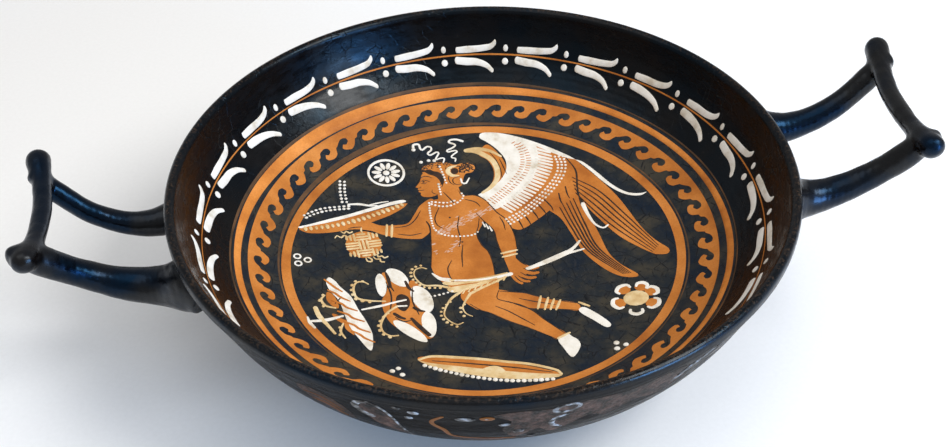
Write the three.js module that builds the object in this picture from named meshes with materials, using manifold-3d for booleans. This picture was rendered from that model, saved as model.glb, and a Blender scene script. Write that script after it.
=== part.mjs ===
// A red-figure kylix: a wide, shallow drinking cup of fired clay on a low moulded foot, with two
// upswept loop handles that end in flaring knobs. The bowl is thrown, the foot is turned, the
// handles are pulled by hand, and all of it is fired as one piece of pottery.
// Units are millimetres, +Z is up, the handles lie along X, and the origin is at the middle of the
// resting ring under the foot.
import * as THREE from "three";
import { mergeVertices } from "three/addons/utils/BufferGeometryUtils.js";
import Module from "manifold-3d";

// ---- driving dimensions ----
const RIM_RADIUS = 136;
const RIM_HEIGHT = 84;
const FOOT_RADIUS = 50;
const STEM_RADIUS = 25;
const TURN_SIDES = 88;
const ARM_SIDES = 12;
const ARM_STEPS = 18;

// Bowl walls as [radius, height against the rim], both in rim radii, from the middle outwards.
const INSIDE_WALL = [
  [0, -0.392], [0.25, -0.388], [0.45, -0.374], [0.646, -0.344], [0.75, -0.3],
  [0.82, -0.255], [0.87, -0.209], [0.907, -0.163], [0.94, -0.1], [0.962, -0.03],
];
const LIP_TOP = [[0.973, -0.004], [0.986, 0], [0.997, -0.006]];
const OUTSIDE_WALL = [
  [1, -0.022], [0.978, -0.08], [0.952, -0.14], [0.927, -0.2], [0.895, -0.26], [0.85, -0.325],
  [0.79, -0.375], [0.72, -0.405], [0.6, -0.43], [0.45, -0.452], [0.3, -0.462],
];

// The foot from the stem down to the resting ring and up into its hollow, in millimetres.
const FOOT_PROFILE = [
  [STEM_RADIUS + 5, 22], [STEM_RADIUS, 19], [STEM_RADIUS, 14], [STEM_RADIUS + 6, 12],
  [FOOT_RADIUS - 8, 10], [FOOT_RADIUS - 2, 8], [FOOT_RADIUS, 5], [FOOT_RADIUS - 1, 1],
  [FOOT_RADIUS - 2, 0], [FOOT_RADIUS - 12, 0], [FOOT_RADIUS - 15, 3], [STEM_RADIUS - 3, 5],
  [STEM_RADIUS - 11, 10], [0, 12],
];

// Each handle is a bar on two arms. Heights are against the rim. An arm starts at ROOT_REACH from
// the axis and root from the middle plane, meets the bar at reach and end, is drawn in by waist on
// the way, and runs on past the bar by stub. Pulled by hand, no two arms are quite alike.
const HANDLES = [
  {
    side: 1, height: 12.7, rootHeight: -13, sag: 11.6,
    arms: [
      { across: 1, reach: 187.5, root: 29, end: 29.2, waist: 3, girth: 0.95, stub: 5 },
      { across: -1, reach: 183.2, root: 26.5, end: 30, waist: 3.6, girth: 1, stub: 6.5 },
    ],
  },
  {
    side: -1, height: -5.2, rootHeight: -27, sag: 13.6,
    arms: [
      { across: 1, reach: 191.8, root: 27.6, end: 25, waist: 6.4, girth: 0.86, stub: 3.5 },
      { across: -1, reach: 188.6, root: 27.6, end: 26.6, waist: 7.2, girth: 1.08, stub: 8 },
    ],
  },
];
const ROOT_REACH = 126.5;
const ROOT_DEPTH = 0.12;
const ROOT_TRIM = 1.5;
const ARM_RADII = [13, 12, 8.8, 7.3, 6.5, 5.9, 5.6, 5.8, 4.6];
const BAR_RADIUS = 4.6;
const KNOB_RADIUS = 5.9;
const KNOB_OVERHANG = { far: 11, near: 8 };
const BAR_BOW = 2;

const wasm = await Module();
wasm.setup();

// A closed geometry as a manifold solid, with the slivers at its poles left out.
function solidOf(geometry) {
  const bare = geometry.index ? geometry.toNonIndexed() : geometry;
  bare.deleteAttribute("normal");
  bare.deleteAttribute("uv");
  const merged = mergeVertices(bare, 1e-4);
  const index = merged.index.array;
  const triangles = [];
  for (let i = 0; i < index.length; i += 3) {
    const [a, b, c] = [index[i], index[i + 1], index[i + 2]];
    if (a !== b && b !== c && c !== a) triangles.push(a, b, c);
  }
  return new wasm.Manifold(new wasm.Mesh({
    numProp: 3,
    vertProperties: new Float32Array(merged.attributes.position.array),
    triVerts: new Uint32Array(triangles),
  }));
}

// A profile of [radius, height] turned about +Z. It runs so that its faces point outwards.
function turned(points, sides) {
  const profile = points.map(([radius, height]) => new THREE.Vector2(radius, height));
  return new THREE.LatheGeometry(profile, sides).rotateX(Math.PI / 2);
}

const scaled = ([radius, height]) => [radius * RIM_RADIUS, RIM_HEIGHT + height * RIM_RADIUS];

// The outside of the cup with its lip, closed along the axis from the foot to the bowl's middle.
function cupBody() {
  const outside = [...FOOT_PROFILE].reverse().concat([...OUTSIDE_WALL].reverse().map(scaled));
  const inside = [...LIP_TOP].reverse().concat([...INSIDE_WALL].reverse()).map(scaled);
  return turned([...outside, ...inside], TURN_SIDES);
}

// A round limb that follows a curve: a turned blank, domed at both ends, bent along its path.
// radiusAt gives its radius at 0 to 1 along the path.
function bentLimb(curve, radiusAt, steps) {
  const length = curve.getLength();
  const blank = [[0, 0]];
  for (let i = 0; i <= steps; i += 1) {
    const along = i / steps;
    const radius = radiusAt(along);
    const fromEnd = Math.min(along, 1 - along) * length;
    const dome = Math.min(1, Math.sqrt(fromEnd / radius + 0.12));
    blank.push([radius * dome, along]);
  }
  blank.push([0, 1]);
  const profile = blank.map(([radius, along]) => new THREE.Vector2(radius, along));
  const geometry = new THREE.LatheGeometry(profile, ARM_SIDES);
  const position = geometry.attributes.position;
  const up = new THREE.Vector3(0, 0, 1);
  for (let i = 0; i < position.count; i += 1) {
    const along = position.getY(i);
    const forward = curve.getTangentAt(along);
    const across = new THREE.Vector3().crossVectors(up, forward).normalize();
    const over = new THREE.Vector3().crossVectors(across, forward);
    const point = curve.getPointAt(along);
    point.addScaledVector(across, position.getX(i)).addScaledVector(over, position.getZ(i));
    position.setXYZ(i, point.x, point.y, point.z);
  }
  return geometry;
}

const blend = (from, to, share) => from + (to - from) * share;
const smooth = (share) => share * share * (3 - 2 * share);

// The value at 0 to 1 along an evenly spaced list.
function along(list, share) {
  const place = Math.min(Math.max(share, 0), 1) * (list.length - 1);
  const below = Math.min(Math.floor(place), list.length - 2);
  return blend(list[below], list[below + 1], smooth(place - below));
}

// One arm, from inside the bowl's wall out to its stub beyond the bar.
function armSolid(handle, arm) {
  const last = 1 + arm.stub / (arm.reach - ROOT_REACH);
  const points = [];
  for (let i = 0; i <= 8; i += 1) {
    const share = blend(-ROOT_DEPTH, last, i / 8);
    const bend = 4 * share * (1 - share);
    points.push(new THREE.Vector3(
      handle.side * blend(ROOT_REACH, arm.reach, share),
      arm.across * (blend(arm.root, arm.end, share) - arm.waist * bend),
      RIM_HEIGHT + blend(handle.rootHeight, handle.height, Math.min(share, 1))
        - handle.sag * Math.max(bend, -0.2),
    ));
  }
  const curve = new THREE.CatmullRomCurve3(points, false, "centripetal");
  const girth = (share) => blend(1, arm.girth, smooth(Math.min(1, 2.5 * share)));
  return solidOf(bentLimb(curve, (share) => girth(share) * along(ARM_RADII, share), ARM_STEPS));
}

// The bar across the arms' ends, a little bowed, swelling into a knob past each arm.
function barSolid(handle) {
  const [far, near] = handle.arms;
  const [from, to] = [-near.end - KNOB_OVERHANG.near, far.end + KNOB_OVERHANG.far];
  const points = [-1, -0.5, 0, 0.5, 1].map((share) => new THREE.Vector3(
    handle.side * (blend(near.reach, far.reach, (share + 1) / 2) - BAR_BOW * (1 - share * share)),
    blend(from, to, (share + 1) / 2),
    RIM_HEIGHT + handle.height + BAR_BOW * share * share,
  ));
  const curve = new THREE.CatmullRomCurve3(points, false, "centripetal");
  const swell = (share) => {
    const fromMiddle = Math.abs(2 * share - 1);
    return blend(BAR_RADIUS, KNOB_RADIUS, smooth(Math.max(0, (fromMiddle - 0.5) / 0.5)));
  };
  return solidOf(bentLimb(curve, swell, ARM_STEPS));
}

// The bowl's hollow, grown into the clay by ROOT_TRIM, which trims the arms' roots inside the wall.
function bowlHollow() {
  const wall = INSIDE_WALL.map(scaled).map(([radius, height]) => [
    radius > 0 ? radius + ROOT_TRIM : 0, height - ROOT_TRIM,
  ]);
  const [mouthRadius] = wall[wall.length - 1];
  return turned([...wall, [mouthRadius, RIM_HEIGHT + 30], [0, RIM_HEIGHT + 30]], TURN_SIDES);
}

const hollow = solidOf(bowlHollow());
let cup = solidOf(cupBody());
for (const handle of HANDLES) {
  for (const arm of handle.arms) cup = cup.add(armSolid(handle, arm).subtract(hollow));
  cup = cup.add(barSolid(handle));
}

function geometryOf(solid) {
  const mesh = solid.getMesh();
  const geometry = new THREE.BufferGeometry();
  geometry.setAttribute("position", new THREE.BufferAttribute(mesh.vertProperties, 3));
  geometry.setIndex(new THREE.BufferAttribute(mesh.triVerts, 1));
  geometry.computeVertexNormals();
  return geometry;
}

const glazedClay = new THREE.MeshStandardMaterial({ color: 0x17161a, roughness: 0.3, metalness: 0 });
const cupMesh = new THREE.Mesh(geometryOf(cup), glazedClay);
cupMesh.name = "cup";

const group = new THREE.Group();
group.add(cupMesh);

export default group;
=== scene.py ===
import math
import random

import bpy
import numpy as np
from mathutils import Matrix, Vector, noise
from mathutils.geometry import delaunay_2d_cdt


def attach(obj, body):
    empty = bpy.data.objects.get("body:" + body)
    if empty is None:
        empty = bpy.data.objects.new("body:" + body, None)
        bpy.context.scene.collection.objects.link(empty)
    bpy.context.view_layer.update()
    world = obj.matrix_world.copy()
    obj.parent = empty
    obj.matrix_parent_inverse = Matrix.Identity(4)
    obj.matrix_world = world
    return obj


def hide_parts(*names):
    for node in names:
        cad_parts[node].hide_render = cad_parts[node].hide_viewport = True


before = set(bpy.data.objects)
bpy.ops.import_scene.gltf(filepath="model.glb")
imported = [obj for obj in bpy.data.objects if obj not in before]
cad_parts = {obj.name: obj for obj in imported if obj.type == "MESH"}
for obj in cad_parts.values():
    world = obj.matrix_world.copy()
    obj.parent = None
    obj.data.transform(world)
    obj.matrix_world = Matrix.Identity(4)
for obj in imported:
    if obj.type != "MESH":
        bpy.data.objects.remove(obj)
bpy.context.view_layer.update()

MM = 0.001

# ---------------------------------------------------------------- camera
# The camera looks down into the bowl over its near edge, from a little to the left of the
# middle, and is rolled by about a degree and a half.
CAMERA_ABOVE_RIM = Vector((-47.2, -406.7, 314.2)) * MM
AIM_FROM_RIM = Vector((-8.1, -38.5, 0.0)) * MM
CAMERA_ROLL = math.radians(-1.6)
CAMERA_LENS = 45.17
SENSOR_WIDTH = 36.0
NEAREST = 0.02
FARTHEST = 50.0
RIM_HEIGHT = 84.0
RIM_RADIUS = 136.0

lens = bpy.data.cameras.new("camera")
lens.lens = CAMERA_LENS
lens.sensor_width = SENSOR_WIDTH
lens.clip_start = NEAREST
lens.clip_end = FARTHEST
camera = bpy.data.objects.new("camera", lens)
bpy.context.scene.collection.objects.link(camera)
rim_centre = Vector((0, 0, RIM_HEIGHT * MM))
facing = (AIM_FROM_RIM - CAMERA_ABOVE_RIM).to_track_quat("-Z", "Y")
camera.matrix_world = (
    Matrix.Translation(rim_centre + CAMERA_ABOVE_RIM)
    @ facing.to_matrix().to_4x4()
    @ Matrix.Rotation(CAMERA_ROLL, 4, "Z")
)
bpy.context.scene.camera = camera

# ---------------------------------------------------------------- bowl and foot
# The thrown bowl and its turned foot, one piece of fine red clay. The whole cup was dipped and
# brushed in slip that fired to a hard black gloss with a faint blue sheen, except inside the
# foot, where the clay is bare. The round picture field on the floor is duller and crazed.
TURN_STEPS = 288
PICTURE_EDGE = 112.6
FOOT_TOP = 25.0
FOOT_HOLLOW_TOP = 13.0
RESTING_RADIUS = 47.0
INSIDE_WALL = [
    (0, -0.392), (0.25, -0.388), (0.45, -0.374), (0.646, -0.344), (0.75, -0.3), (0.82, -0.255),
    (0.87, -0.209), (0.907, -0.163), (0.94, -0.1), (0.962, -0.03),
]
LIP_TOP = [(0.967, -0.01), (0.975, 0), (0.986, 0.0035), (0.996, -0.002), (1.0, -0.012)]
OUTSIDE_WALL = [
    (1.0, -0.03), (0.978, -0.08), (0.952, -0.14), (0.927, -0.2), (0.895, -0.26), (0.85, -0.325),
    (0.79, -0.375), (0.72, -0.405), (0.6, -0.43), (0.45, -0.452), (0.3, -0.462),
]
FOOT_SIDE = [
    (31, 22.2), (27, 20.5), (25.3, 18), (25, 15.5), (26.5, 13.4), (31, 12.2), (31, 12.2), (31.4, 11.2),
    (31.4, 11.2), (36, 10.6), (42, 9.7), (47, 8.3), (49.5, 6.2), (50, 4), (49.6, 1.8), (48.4, 0.35),
    (47, 0),
]
FOOT_UNDER = [(47, 0), (38.6, 0), (37, 0.8), (35, 3), (29, 4.4), (22, 5.2), (11, 10), (6, 11.2),
              (2.5, 12.2), (0, 12.6)]


def spline(points, step, closed=False):
    """A smooth run through points at about step apart. A point given twice is a corner."""
    points = [Vector(p) for p in points]
    if closed:
        points = points + points[:1]
    runs, run = [], [points[0]]
    for before, point in zip(points, points[1:]):
        if (point - before).length < 1e-9:
            runs.append(run)
            run = [point]
        else:
            run.append(point)
    runs.append(run)
    line = [points[0]]
    smooth_loop = closed and len(runs) == 1
    for run in (r for r in runs if len(r) > 1):
        first = run[-2] if smooth_loop else run[0] * 2 - run[1]
        last = run[1] if smooth_loop else run[-1] * 2 - run[-2]
        ends = [first, *run, last]
        for p0, p1, p2, p3 in zip(ends, ends[1:], ends[2:], ends[3:]):
            count = max(1, round((p2 - p1).length / step))
            for i in range(1, count + 1):
                t = i / count
                line.append(0.5 * (
                    p1 * 2 + (p2 - p0) * t + (p0 * 2 - p1 * 5 + p2 * 4 - p3) * t * t
                    + (p1 * 3 - p0 - p2 * 3 + p3) * t ** 3
                ))
    return line[:-1] if closed else line


def in_millimetres(profile):
    return [(r * RIM_RADIUS, RIM_HEIGHT + h * RIM_RADIUS) for r, h in profile]


wall_line = spline(in_millimetres(INSIDE_WALL), 1.2)
wall_radii = np.array([p.x for p in wall_line])
wall_heights = np.array([p.y for p in wall_line])


def floor_height(x, y):
    """Height of the bowl's inside at a place in plan, in millimetres."""
    return float(np.interp(math.hypot(x, y), wall_radii, wall_heights))


EDGE_ANGLE = math.radians(55)


def new_piece(name, vertices, faces, smooth=True):
    mesh = bpy.data.meshes.new(name)
    mesh.from_pydata(vertices, [], faces)
    mesh.update()
    if smooth:
        mesh.shade_smooth()
        mesh.set_sharp_from_angle(angle=EDGE_ANGLE)
    piece = bpy.data.objects.new(name, mesh)
    bpy.context.scene.collection.objects.link(piece)
    return piece


def turned(name, profile, steps):
    """A profile of (radius, height) in millimetres, from axis to axis, turned about the middle."""
    vertices, faces, rings = [], [], []
    for radius, height in profile:
        if radius < 1e-6:
            rings.append([len(vertices)])
            vertices.append((0, 0, height * MM))
            continue
        rings.append(range(len(vertices), len(vertices) + steps))
        for i in range(steps):
            angle = 2 * math.pi * i / steps
            vertices.append((radius * math.cos(angle) * MM, radius * math.sin(angle) * MM, height * MM))
    for low, high in zip(rings, rings[1:]):
        for i in range(steps):
            j = (i + 1) % steps
            if len(low) == 1:
                faces.append((low[0], high[j], high[i]))
            elif len(high) == 1:
                faces.append((low[i], low[j], high[0]))
            else:
                faces.append((low[i], low[j], high[j], high[i]))
    return new_piece(name, vertices, faces)


class Finish:
    """A material being mixed: adds nodes to a principled surface and wires them together."""

    def __init__(self, name, **surface):
        self.material = bpy.data.materials.new(name)
        self.material.use_nodes = True
        self.tree = self.material.node_tree
        self.surface = self.tree.nodes["Principled BSDF"]
        for label, value in surface.items():
            self.surface.inputs[label.replace("_", " ")].default_value = value
        self.place = self.tree.nodes.new("ShaderNodeTexCoord").outputs["Object"]

    def wire(self, source, target):
        self.tree.links.new(source, target)

    def grain(self, size_mm, detail=4, roughness=0.55, stretch=(1, 1, 1), distortion=0.0):
        """Cloudy variation from 0 to 1, with patches of about size_mm."""
        squash = self.tree.nodes.new("ShaderNodeMapping")
        squash.inputs["Scale"].default_value = stretch
        self.wire(self.place, squash.inputs["Vector"])
        clouds = self.tree.nodes.new("ShaderNodeTexNoise")
        clouds.inputs["Scale"].default_value = 1 / (size_mm * MM)
        clouds.inputs["Detail"].default_value = detail
        clouds.inputs["Roughness"].default_value = roughness
        clouds.inputs["Distortion"].default_value = distortion
        self.wire(squash.outputs["Vector"], clouds.inputs["Vector"])
        return clouds.outputs["Fac"]

    def cracks(self, size_mm, width):
        """1 along the cracks of a fine craze with cells of about size_mm, and 0 between them."""
        cells = self.tree.nodes.new("ShaderNodeTexVoronoi")
        cells.feature = "DISTANCE_TO_EDGE"
        cells.inputs["Scale"].default_value = 1 / (size_mm * MM)
        self.wire(self.place, cells.inputs["Vector"])
        return self.ramp(cells.outputs["Distance"], [(0.0, 1.0), (width, 0.0)])

    def turning_lines(self, spacing_mm):
        """Fine rings about the cup's axis, as a brush leaves on the wheel."""
        rings = self.tree.nodes.new("ShaderNodeTexWave")
        rings.wave_type = "RINGS"
        rings.rings_direction = "Z"
        rings.inputs["Scale"].default_value = 0.314 / (spacing_mm * MM)
        rings.inputs["Distortion"].default_value = 1.2
        rings.inputs["Detail"].default_value = 3
        rings.inputs["Detail Scale"].default_value = 1.5
        self.wire(self.place, rings.inputs["Vector"])
        return rings.outputs["Fac"]

    def ramp(self, source, stops):
        """Maps source through stops of (place, value), where a value is a number or a colour."""
        ramp = self.tree.nodes.new("ShaderNodeValToRGB")
        band = ramp.color_ramp
        while len(band.elements) < len(stops):
            band.elements.new(0.5)
        for element, (place, value) in zip(band.elements, stops):
            element.position = place
            element.color = (value, value, value, 1) if isinstance(value, float) else (*value, 1)
        self.wire(source, ramp.inputs["Fac"])
        return ramp.outputs["Color"]

    def mixed(self, share, first, second):
        """first where share is 0 and second where it is 1. Each is a colour or a socket."""
        mix = self.tree.nodes.new("ShaderNodeMix")
        mix.data_type = "RGBA"
        self.wire(share, mix.inputs["Factor"])
        for value, socket in ((first, mix.inputs[6]), (second, mix.inputs[7])):
            if isinstance(value, tuple):
                socket.default_value = (*value, 1)
            else:
                self.wire(value, socket)
        return mix.outputs[2]

    def sums(self, kind, first, second):
        maths = self.tree.nodes.new("ShaderNodeMath")
        maths.operation = kind
        maths.use_clamp = True
        for value, socket in ((first, maths.inputs[0]), (second, maths.inputs[1])):
            if isinstance(value, (int, float)):
                socket.default_value = value
            else:
                self.wire(value, socket)
        return maths.outputs[0]

    def relief(self, *layers):
        """Bumps from (height source, depth in millimetres) layers, one over another."""
        below = None
        for source, depth in layers:
            bump = self.tree.nodes.new("ShaderNodeBump")
            bump.inputs["Strength"].default_value = 1.0
            bump.inputs["Distance"].default_value = depth * MM
            self.wire(source, bump.inputs["Height"])
            if below:
                self.wire(below, bump.inputs["Normal"])
            below = bump.outputs["Normal"]
        self.wire(below, self.surface.inputs["Normal"])

    def paint(self, colour, roughness):
        self.wire(colour, self.surface.inputs["Base Color"])
        self.wire(roughness, self.surface.inputs["Roughness"])
        return self.material


def height_above(finish, low_mm, high_mm):
    """0 below low_mm and 1 above high_mm."""
    parts = finish.tree.nodes.new("ShaderNodeSeparateXYZ")
    finish.wire(finish.place, parts.inputs[0])
    span = finish.tree.nodes.new("ShaderNodeMapRange")
    span.inputs["From Min"].default_value = low_mm * MM
    span.inputs["From Max"].default_value = high_mm * MM
    finish.wire(parts.outputs["Z"], span.inputs["Value"])
    return span.outputs["Result"]


def black_gloss_finish(name, sheen, shine, worn_rim=False, crazed=0.0, rim_shine=None):
    finish = Finish(name, IOR=1.5, Specular_IOR_Level=shine)
    clouds = finish.grain(26, detail=6)
    tints = finish.ramp(finish.grain(34, detail=3), [(0.4, (0.75, 0.8, 0.85)), (0.58, sheen)])
    finish.wire(tints, finish.surface.inputs["Specular Tint"])
    fine = finish.grain(1.1, detail=5)
    streaks = finish.grain(9, detail=5, stretch=(1, 1, 3.5))
    colour = finish.ramp(clouds, [(0.36, (0.0007, 0.0008, 0.0015)), (0.68, (0.003, 0.002, 0.0016))])
    worn = finish.ramp(finish.sums("MULTIPLY", fine, streaks), [(0.38, 0.0), (0.5, 0.45)])
    colour = finish.mixed(worn, colour, (0.022, 0.016, 0.012))
    if worn_rim:
        edge = finish.sums("MULTIPLY", height_above(finish, 83.4, 84.6),
                           finish.ramp(fine, [(0.5, 0.0), (0.66, 0.8)]))
        colour = finish.mixed(edge, colour, (0.06, 0.035, 0.02))
    if rim_shine:
        level = finish.ramp(height_above(finish, 79.0, 84.0), [(0.0, shine), (1.0, rim_shine)])
        finish.wire(level, finish.surface.inputs["Specular IOR Level"])
    roughness = finish.ramp(streaks, [(0.3, 0.16), (0.72, 0.4)])
    layers = [(finish.turning_lines(2.6), 0.035), (finish.grain(3.2, detail=6), 0.10), (fine, 0.035)]
    if crazed:
        craze = finish.sums("MULTIPLY", finish.cracks(5.5, 0.04),
                            finish.ramp(finish.grain(22, detail=4), [(0.5, 0.0), (0.6, crazed)]))
        colour = finish.mixed(craze, colour, (0.0008, 0.0008, 0.001))
        layers.append((finish.sums("SUBTRACT", 1.0, craze), 0.10))
    finish.relief(*layers)
    return finish.paint(colour, roughness)


def picture_ground_finish():
    finish = Finish("picture_ground", Specular_Tint=(0.7, 0.85, 1.0, 1), IOR=1.45,
                    Specular_IOR_Level=0.3)
    patches = finish.grain(16, detail=7, roughness=0.62)
    brushing = finish.grain(5, detail=6, stretch=(2.2, 0.8, 1), distortion=0.6)
    fine = finish.grain(0.8, detail=4)
    slate = finish.ramp(patches, [
        (0.36, (0.004, 0.009, 0.019)), (0.5, (0.014, 0.016, 0.018)), (0.64, (0.044, 0.037, 0.025)),
    ])
    slate = finish.mixed(finish.ramp(brushing, [(0.5, 0.0), (0.8, 0.5)]), slate, (0.04, 0.038, 0.036))
    craze = finish.sums("MULTIPLY", finish.cracks(6.5, 0.05),
                        finish.ramp(brushing, [(0.42, 0.0), (0.56, 1.0)]))
    slate = finish.mixed(craze, slate, (0.002, 0.002, 0.003))
    flecks = finish.ramp(finish.grain(0.7, detail=2), [(0.7, 0.0), (0.75, 0.5)])
    slate = finish.mixed(flecks, slate, (0.12, 0.11, 0.10))
    roughness = finish.ramp(brushing, [(0.3, 0.38), (0.7, 0.62)])
    finish.relief(
        (finish.turning_lines(3.4), 0.02), (brushing, 0.08),
        (finish.sums("SUBTRACT", 1.0, craze), 0.12), (fine, 0.03),
    )
    return finish.paint(slate, roughness)


def bare_clay_finish(name="bare_clay", light=1.0):
    finish = Finish(name, IOR=1.45, Specular_IOR_Level=0.16)
    patches = finish.grain(20, detail=5)
    fine = finish.grain(0.9, detail=6, roughness=0.7)
    specks = finish.grain(0.55, detail=2)
    shades = [(0.40, 0.125, 0.022), (0.56, 0.195, 0.036), (0.68, 0.26, 0.06)]
    dark, middle, bright = (tuple(light * c for c in shade) for shade in shades)
    colour = finish.ramp(patches, [(0.32, dark), (0.5, middle), (0.7, bright)])
    colour = finish.mixed(finish.ramp(fine, [(0.4, 0.0), (0.75, 0.35)]), colour, (0.30, 0.09, 0.02))
    colour = finish.mixed(finish.ramp(specks, [(0.70, 0.0), (0.76, 0.8)]), colour, (0.06, 0.025, 0.012))
    roughness = finish.ramp(fine, [(0.3, 0.42), (0.7, 0.6)])
    finish.relief((patches, 0.05), (fine, 0.04))
    return finish.paint(colour, roughness)


inner_gloss = black_gloss_finish("inner_gloss", (0.4, 0.7, 1.0), 0.22, worn_rim=True, crazed=0.9)
outer_gloss = black_gloss_finish("outer_gloss", (0.3, 0.6, 1.0), 0.012, worn_rim=True, rim_shine=0.4)
picture_ground = picture_ground_finish()
bare_clay = bare_clay_finish()
foot_clay = bare_clay_finish("foot_clay", light=0.8)

foot_side = spline(FOOT_SIDE, 1.0)
foot_under = spline(FOOT_UNDER, 1.5)
outside = spline(in_millimetres(OUTSIDE_WALL), 2.0)
lip = spline(in_millimetres([INSIDE_WALL[-1], *LIP_TOP, OUTSIDE_WALL[0]]), 0.6)
bowl_profile = [(p.x, p.y) for p in wall_line + lip[1:] + outside[1:] + foot_side + foot_under[1:]]
bowl_profile[0] = (0, bowl_profile[0][1])
bowl_profile[-1] = (0, bowl_profile[-1][1])
bowl = turned("bowl_and_foot", bowl_profile[::-1], TURN_STEPS)
bowl_finishes = (inner_gloss, picture_ground, foot_clay, outer_gloss)
for finish in bowl_finishes:
    bowl.data.materials.append(finish)
for face in bowl.data.polygons:
    radius = face.center.xy.length / MM
    height = face.center.z / MM
    if radius < PICTURE_EDGE and height > floor_height(radius, 0) - 0.5 and face.normal.z > 0:
        face.material_index = bowl_finishes.index(picture_ground)
    elif height < FOOT_HOLLOW_TOP and radius < RESTING_RADIUS and face.normal.z < 0.1:
        face.material_index = bowl_finishes.index(foot_clay)
    elif height < FOOT_TOP or (
        height < RIM_HEIGHT and radius > float(np.interp(height, wall_heights, wall_radii)) + 2
    ):
        face.material_index = bowl_finishes.index(outer_gloss)
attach(bowl, "root")
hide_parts("cup")

# ---------------------------------------------------------------- handles
# Two looped handles, hand drawn from soft rods of clay and pressed on below the rim: two arms
# bend out and up to a cross-bar with rounded ends. They carry the same slip with more blue in it.
ROOT_REACH = 126.5
ROOT_SHARE = -0.12
ARM_RADII = (13, 12, 8.8, 7.3, 6.5, 5.9, 5.6, 5.8, 4.6)
BAR_RADIUS = 4.2
KNOB_RADIUS = 5.6
BAR_BOW = 2.0
BAR_PAST_NEAR = 6.5
BAR_PAST_FAR = 10.5
ROD_STEPS = 60
ROD_SIDES = 28
REMESH_SIZE = 0.85
SMOOTHING = 0.6
SMOOTH_ROUNDS = 14
LUMPS = ((15, 0.45), (5, 0.14))
ARM_NAMES = ("across", "reach", "root", "end", "waist", "girth", "stub")
RIGHT_HANDLE = {
    "side": 1, "height": 12.7, "root": -13, "sag": 11.6,
    "far": dict(zip(ARM_NAMES, (1, 187.5, 29, 29.2, 3, 0.95, 4))),
    "near": dict(zip(ARM_NAMES, (-1, 183.2, 26.5, 30, 3.6, 1, 5))),
}
LEFT_HANDLE = {
    "side": -1, "height": -5.2, "root": -27, "sag": 13.6,
    "far": dict(zip(ARM_NAMES, (1, 191.8, 27.6, 25, 6.4, 0.86, 3.5))),
    "near": dict(zip(ARM_NAMES, (-1, 188.6, 27.6, 26.6, 7.2, 1.08, 6.4))),
}


def blend(a, b, t):
    return a + (b - a) * t


def eased(t):
    t = min(1.0, max(0.0, t))
    return t * t * (3 - 2 * t)


def rod(centres, radii, around=ROD_SIDES):
    """Vertices and faces of a closed round rod through centres."""
    vertices, faces = [], []
    side = Vector((0, 0, 1))
    for i, (centre, radius) in enumerate(zip(centres, radii)):
        forward = (centres[min(i + 1, len(centres) - 1)] - centres[max(i - 1, 0)]).normalized()
        side = (side - forward * side.dot(forward)).normalized()
        other = forward.cross(side)
        for j in range(around):
            angle = 2 * math.pi * j / around
            vertices.append(centre + side * radius * math.cos(angle) + other * radius * math.sin(angle))
    for i in range(len(centres) - 1):
        for j in range(around):
            k = (j + 1) % around
            faces.append((i * around + j, i * around + k, (i + 1) * around + k, (i + 1) * around + j))
    faces.append(tuple(reversed(range(around))))
    faces.append(tuple(range(len(vertices) - around, len(vertices))))
    return vertices, faces


def arm_rod(handle, arm):
    end_share = 1 + arm["stub"] / (arm["reach"] - ROOT_REACH)
    centres, radii = [], []
    for i in range(ROD_STEPS + 1):
        share = i / ROD_STEPS
        s = blend(ROOT_SHARE, end_share, share)
        bend = 4 * s * (1 - s)
        centres.append(Vector((
            handle["side"] * blend(ROOT_REACH, arm["reach"], s),
            arm["across"] * (blend(arm["root"], arm["end"], s) - arm["waist"] * bend),
            RIM_HEIGHT + blend(handle["root"], handle["height"], min(s, 1))
            - handle["sag"] * max(bend, -0.2),
        )))
        girth = blend(1, arm["girth"], eased(2.5 * share))
        radii.append(girth * float(np.interp(share * 8, range(9), ARM_RADII)))
    tip, onwards = centres[-1], (centres[-1] - centres[-2]).normalized()
    end_radius = radii[-1]
    for out, scale in ((0.15, 0.86), (0.3, 0.6), (0.4, 0.25)):
        centres.append(tip + onwards * end_radius * out)
        radii.append(end_radius * scale)
    return rod(centres, radii)


def bar_rod(handle):
    near, far = handle["near"], handle["far"]
    low, high = -near["end"] - BAR_PAST_NEAR, far["end"] + BAR_PAST_FAR
    end_caps = {-1: 0.5, -2: 0.85, -3: 1.0, ROD_STEPS + 1: 0.5, ROD_STEPS + 2: 0.85, ROD_STEPS + 3: 1.0}
    centres, radii = [], []
    for i in range(-3, ROD_STEPS + 4):
        t = min(1.0, max(0.0, i / ROD_STEPS))
        past = end_caps.get(i, 0)
        radius = blend(BAR_RADIUS, KNOB_RADIUS, eased((abs(2 * t - 1) - 0.5) / 0.5))
        y = blend(low, high, t) + past * radius * (0.8 if t else -0.8)
        share = max(-1.3, min(1.3, y / ((near["end"] + far["end"]) / 2)))
        centres.append(Vector((
            handle["side"] * (
                blend(near["reach"], far["reach"], (share + 1) / 2) - BAR_BOW * (1 - share ** 2)
            ),
            y, RIM_HEIGHT + handle["height"] + 2 * share ** 2,
        )))
        radii.append(radius * math.sqrt(1 - min(0.96, past) ** 2))
    return rod(centres, radii)


mid_wall = np.array(sorted(
    (height, (radius + float(np.interp(height, wall_heights, wall_radii))) / 2)
    for radius, height in in_millimetres(OUTSIDE_WALL)
))


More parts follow.
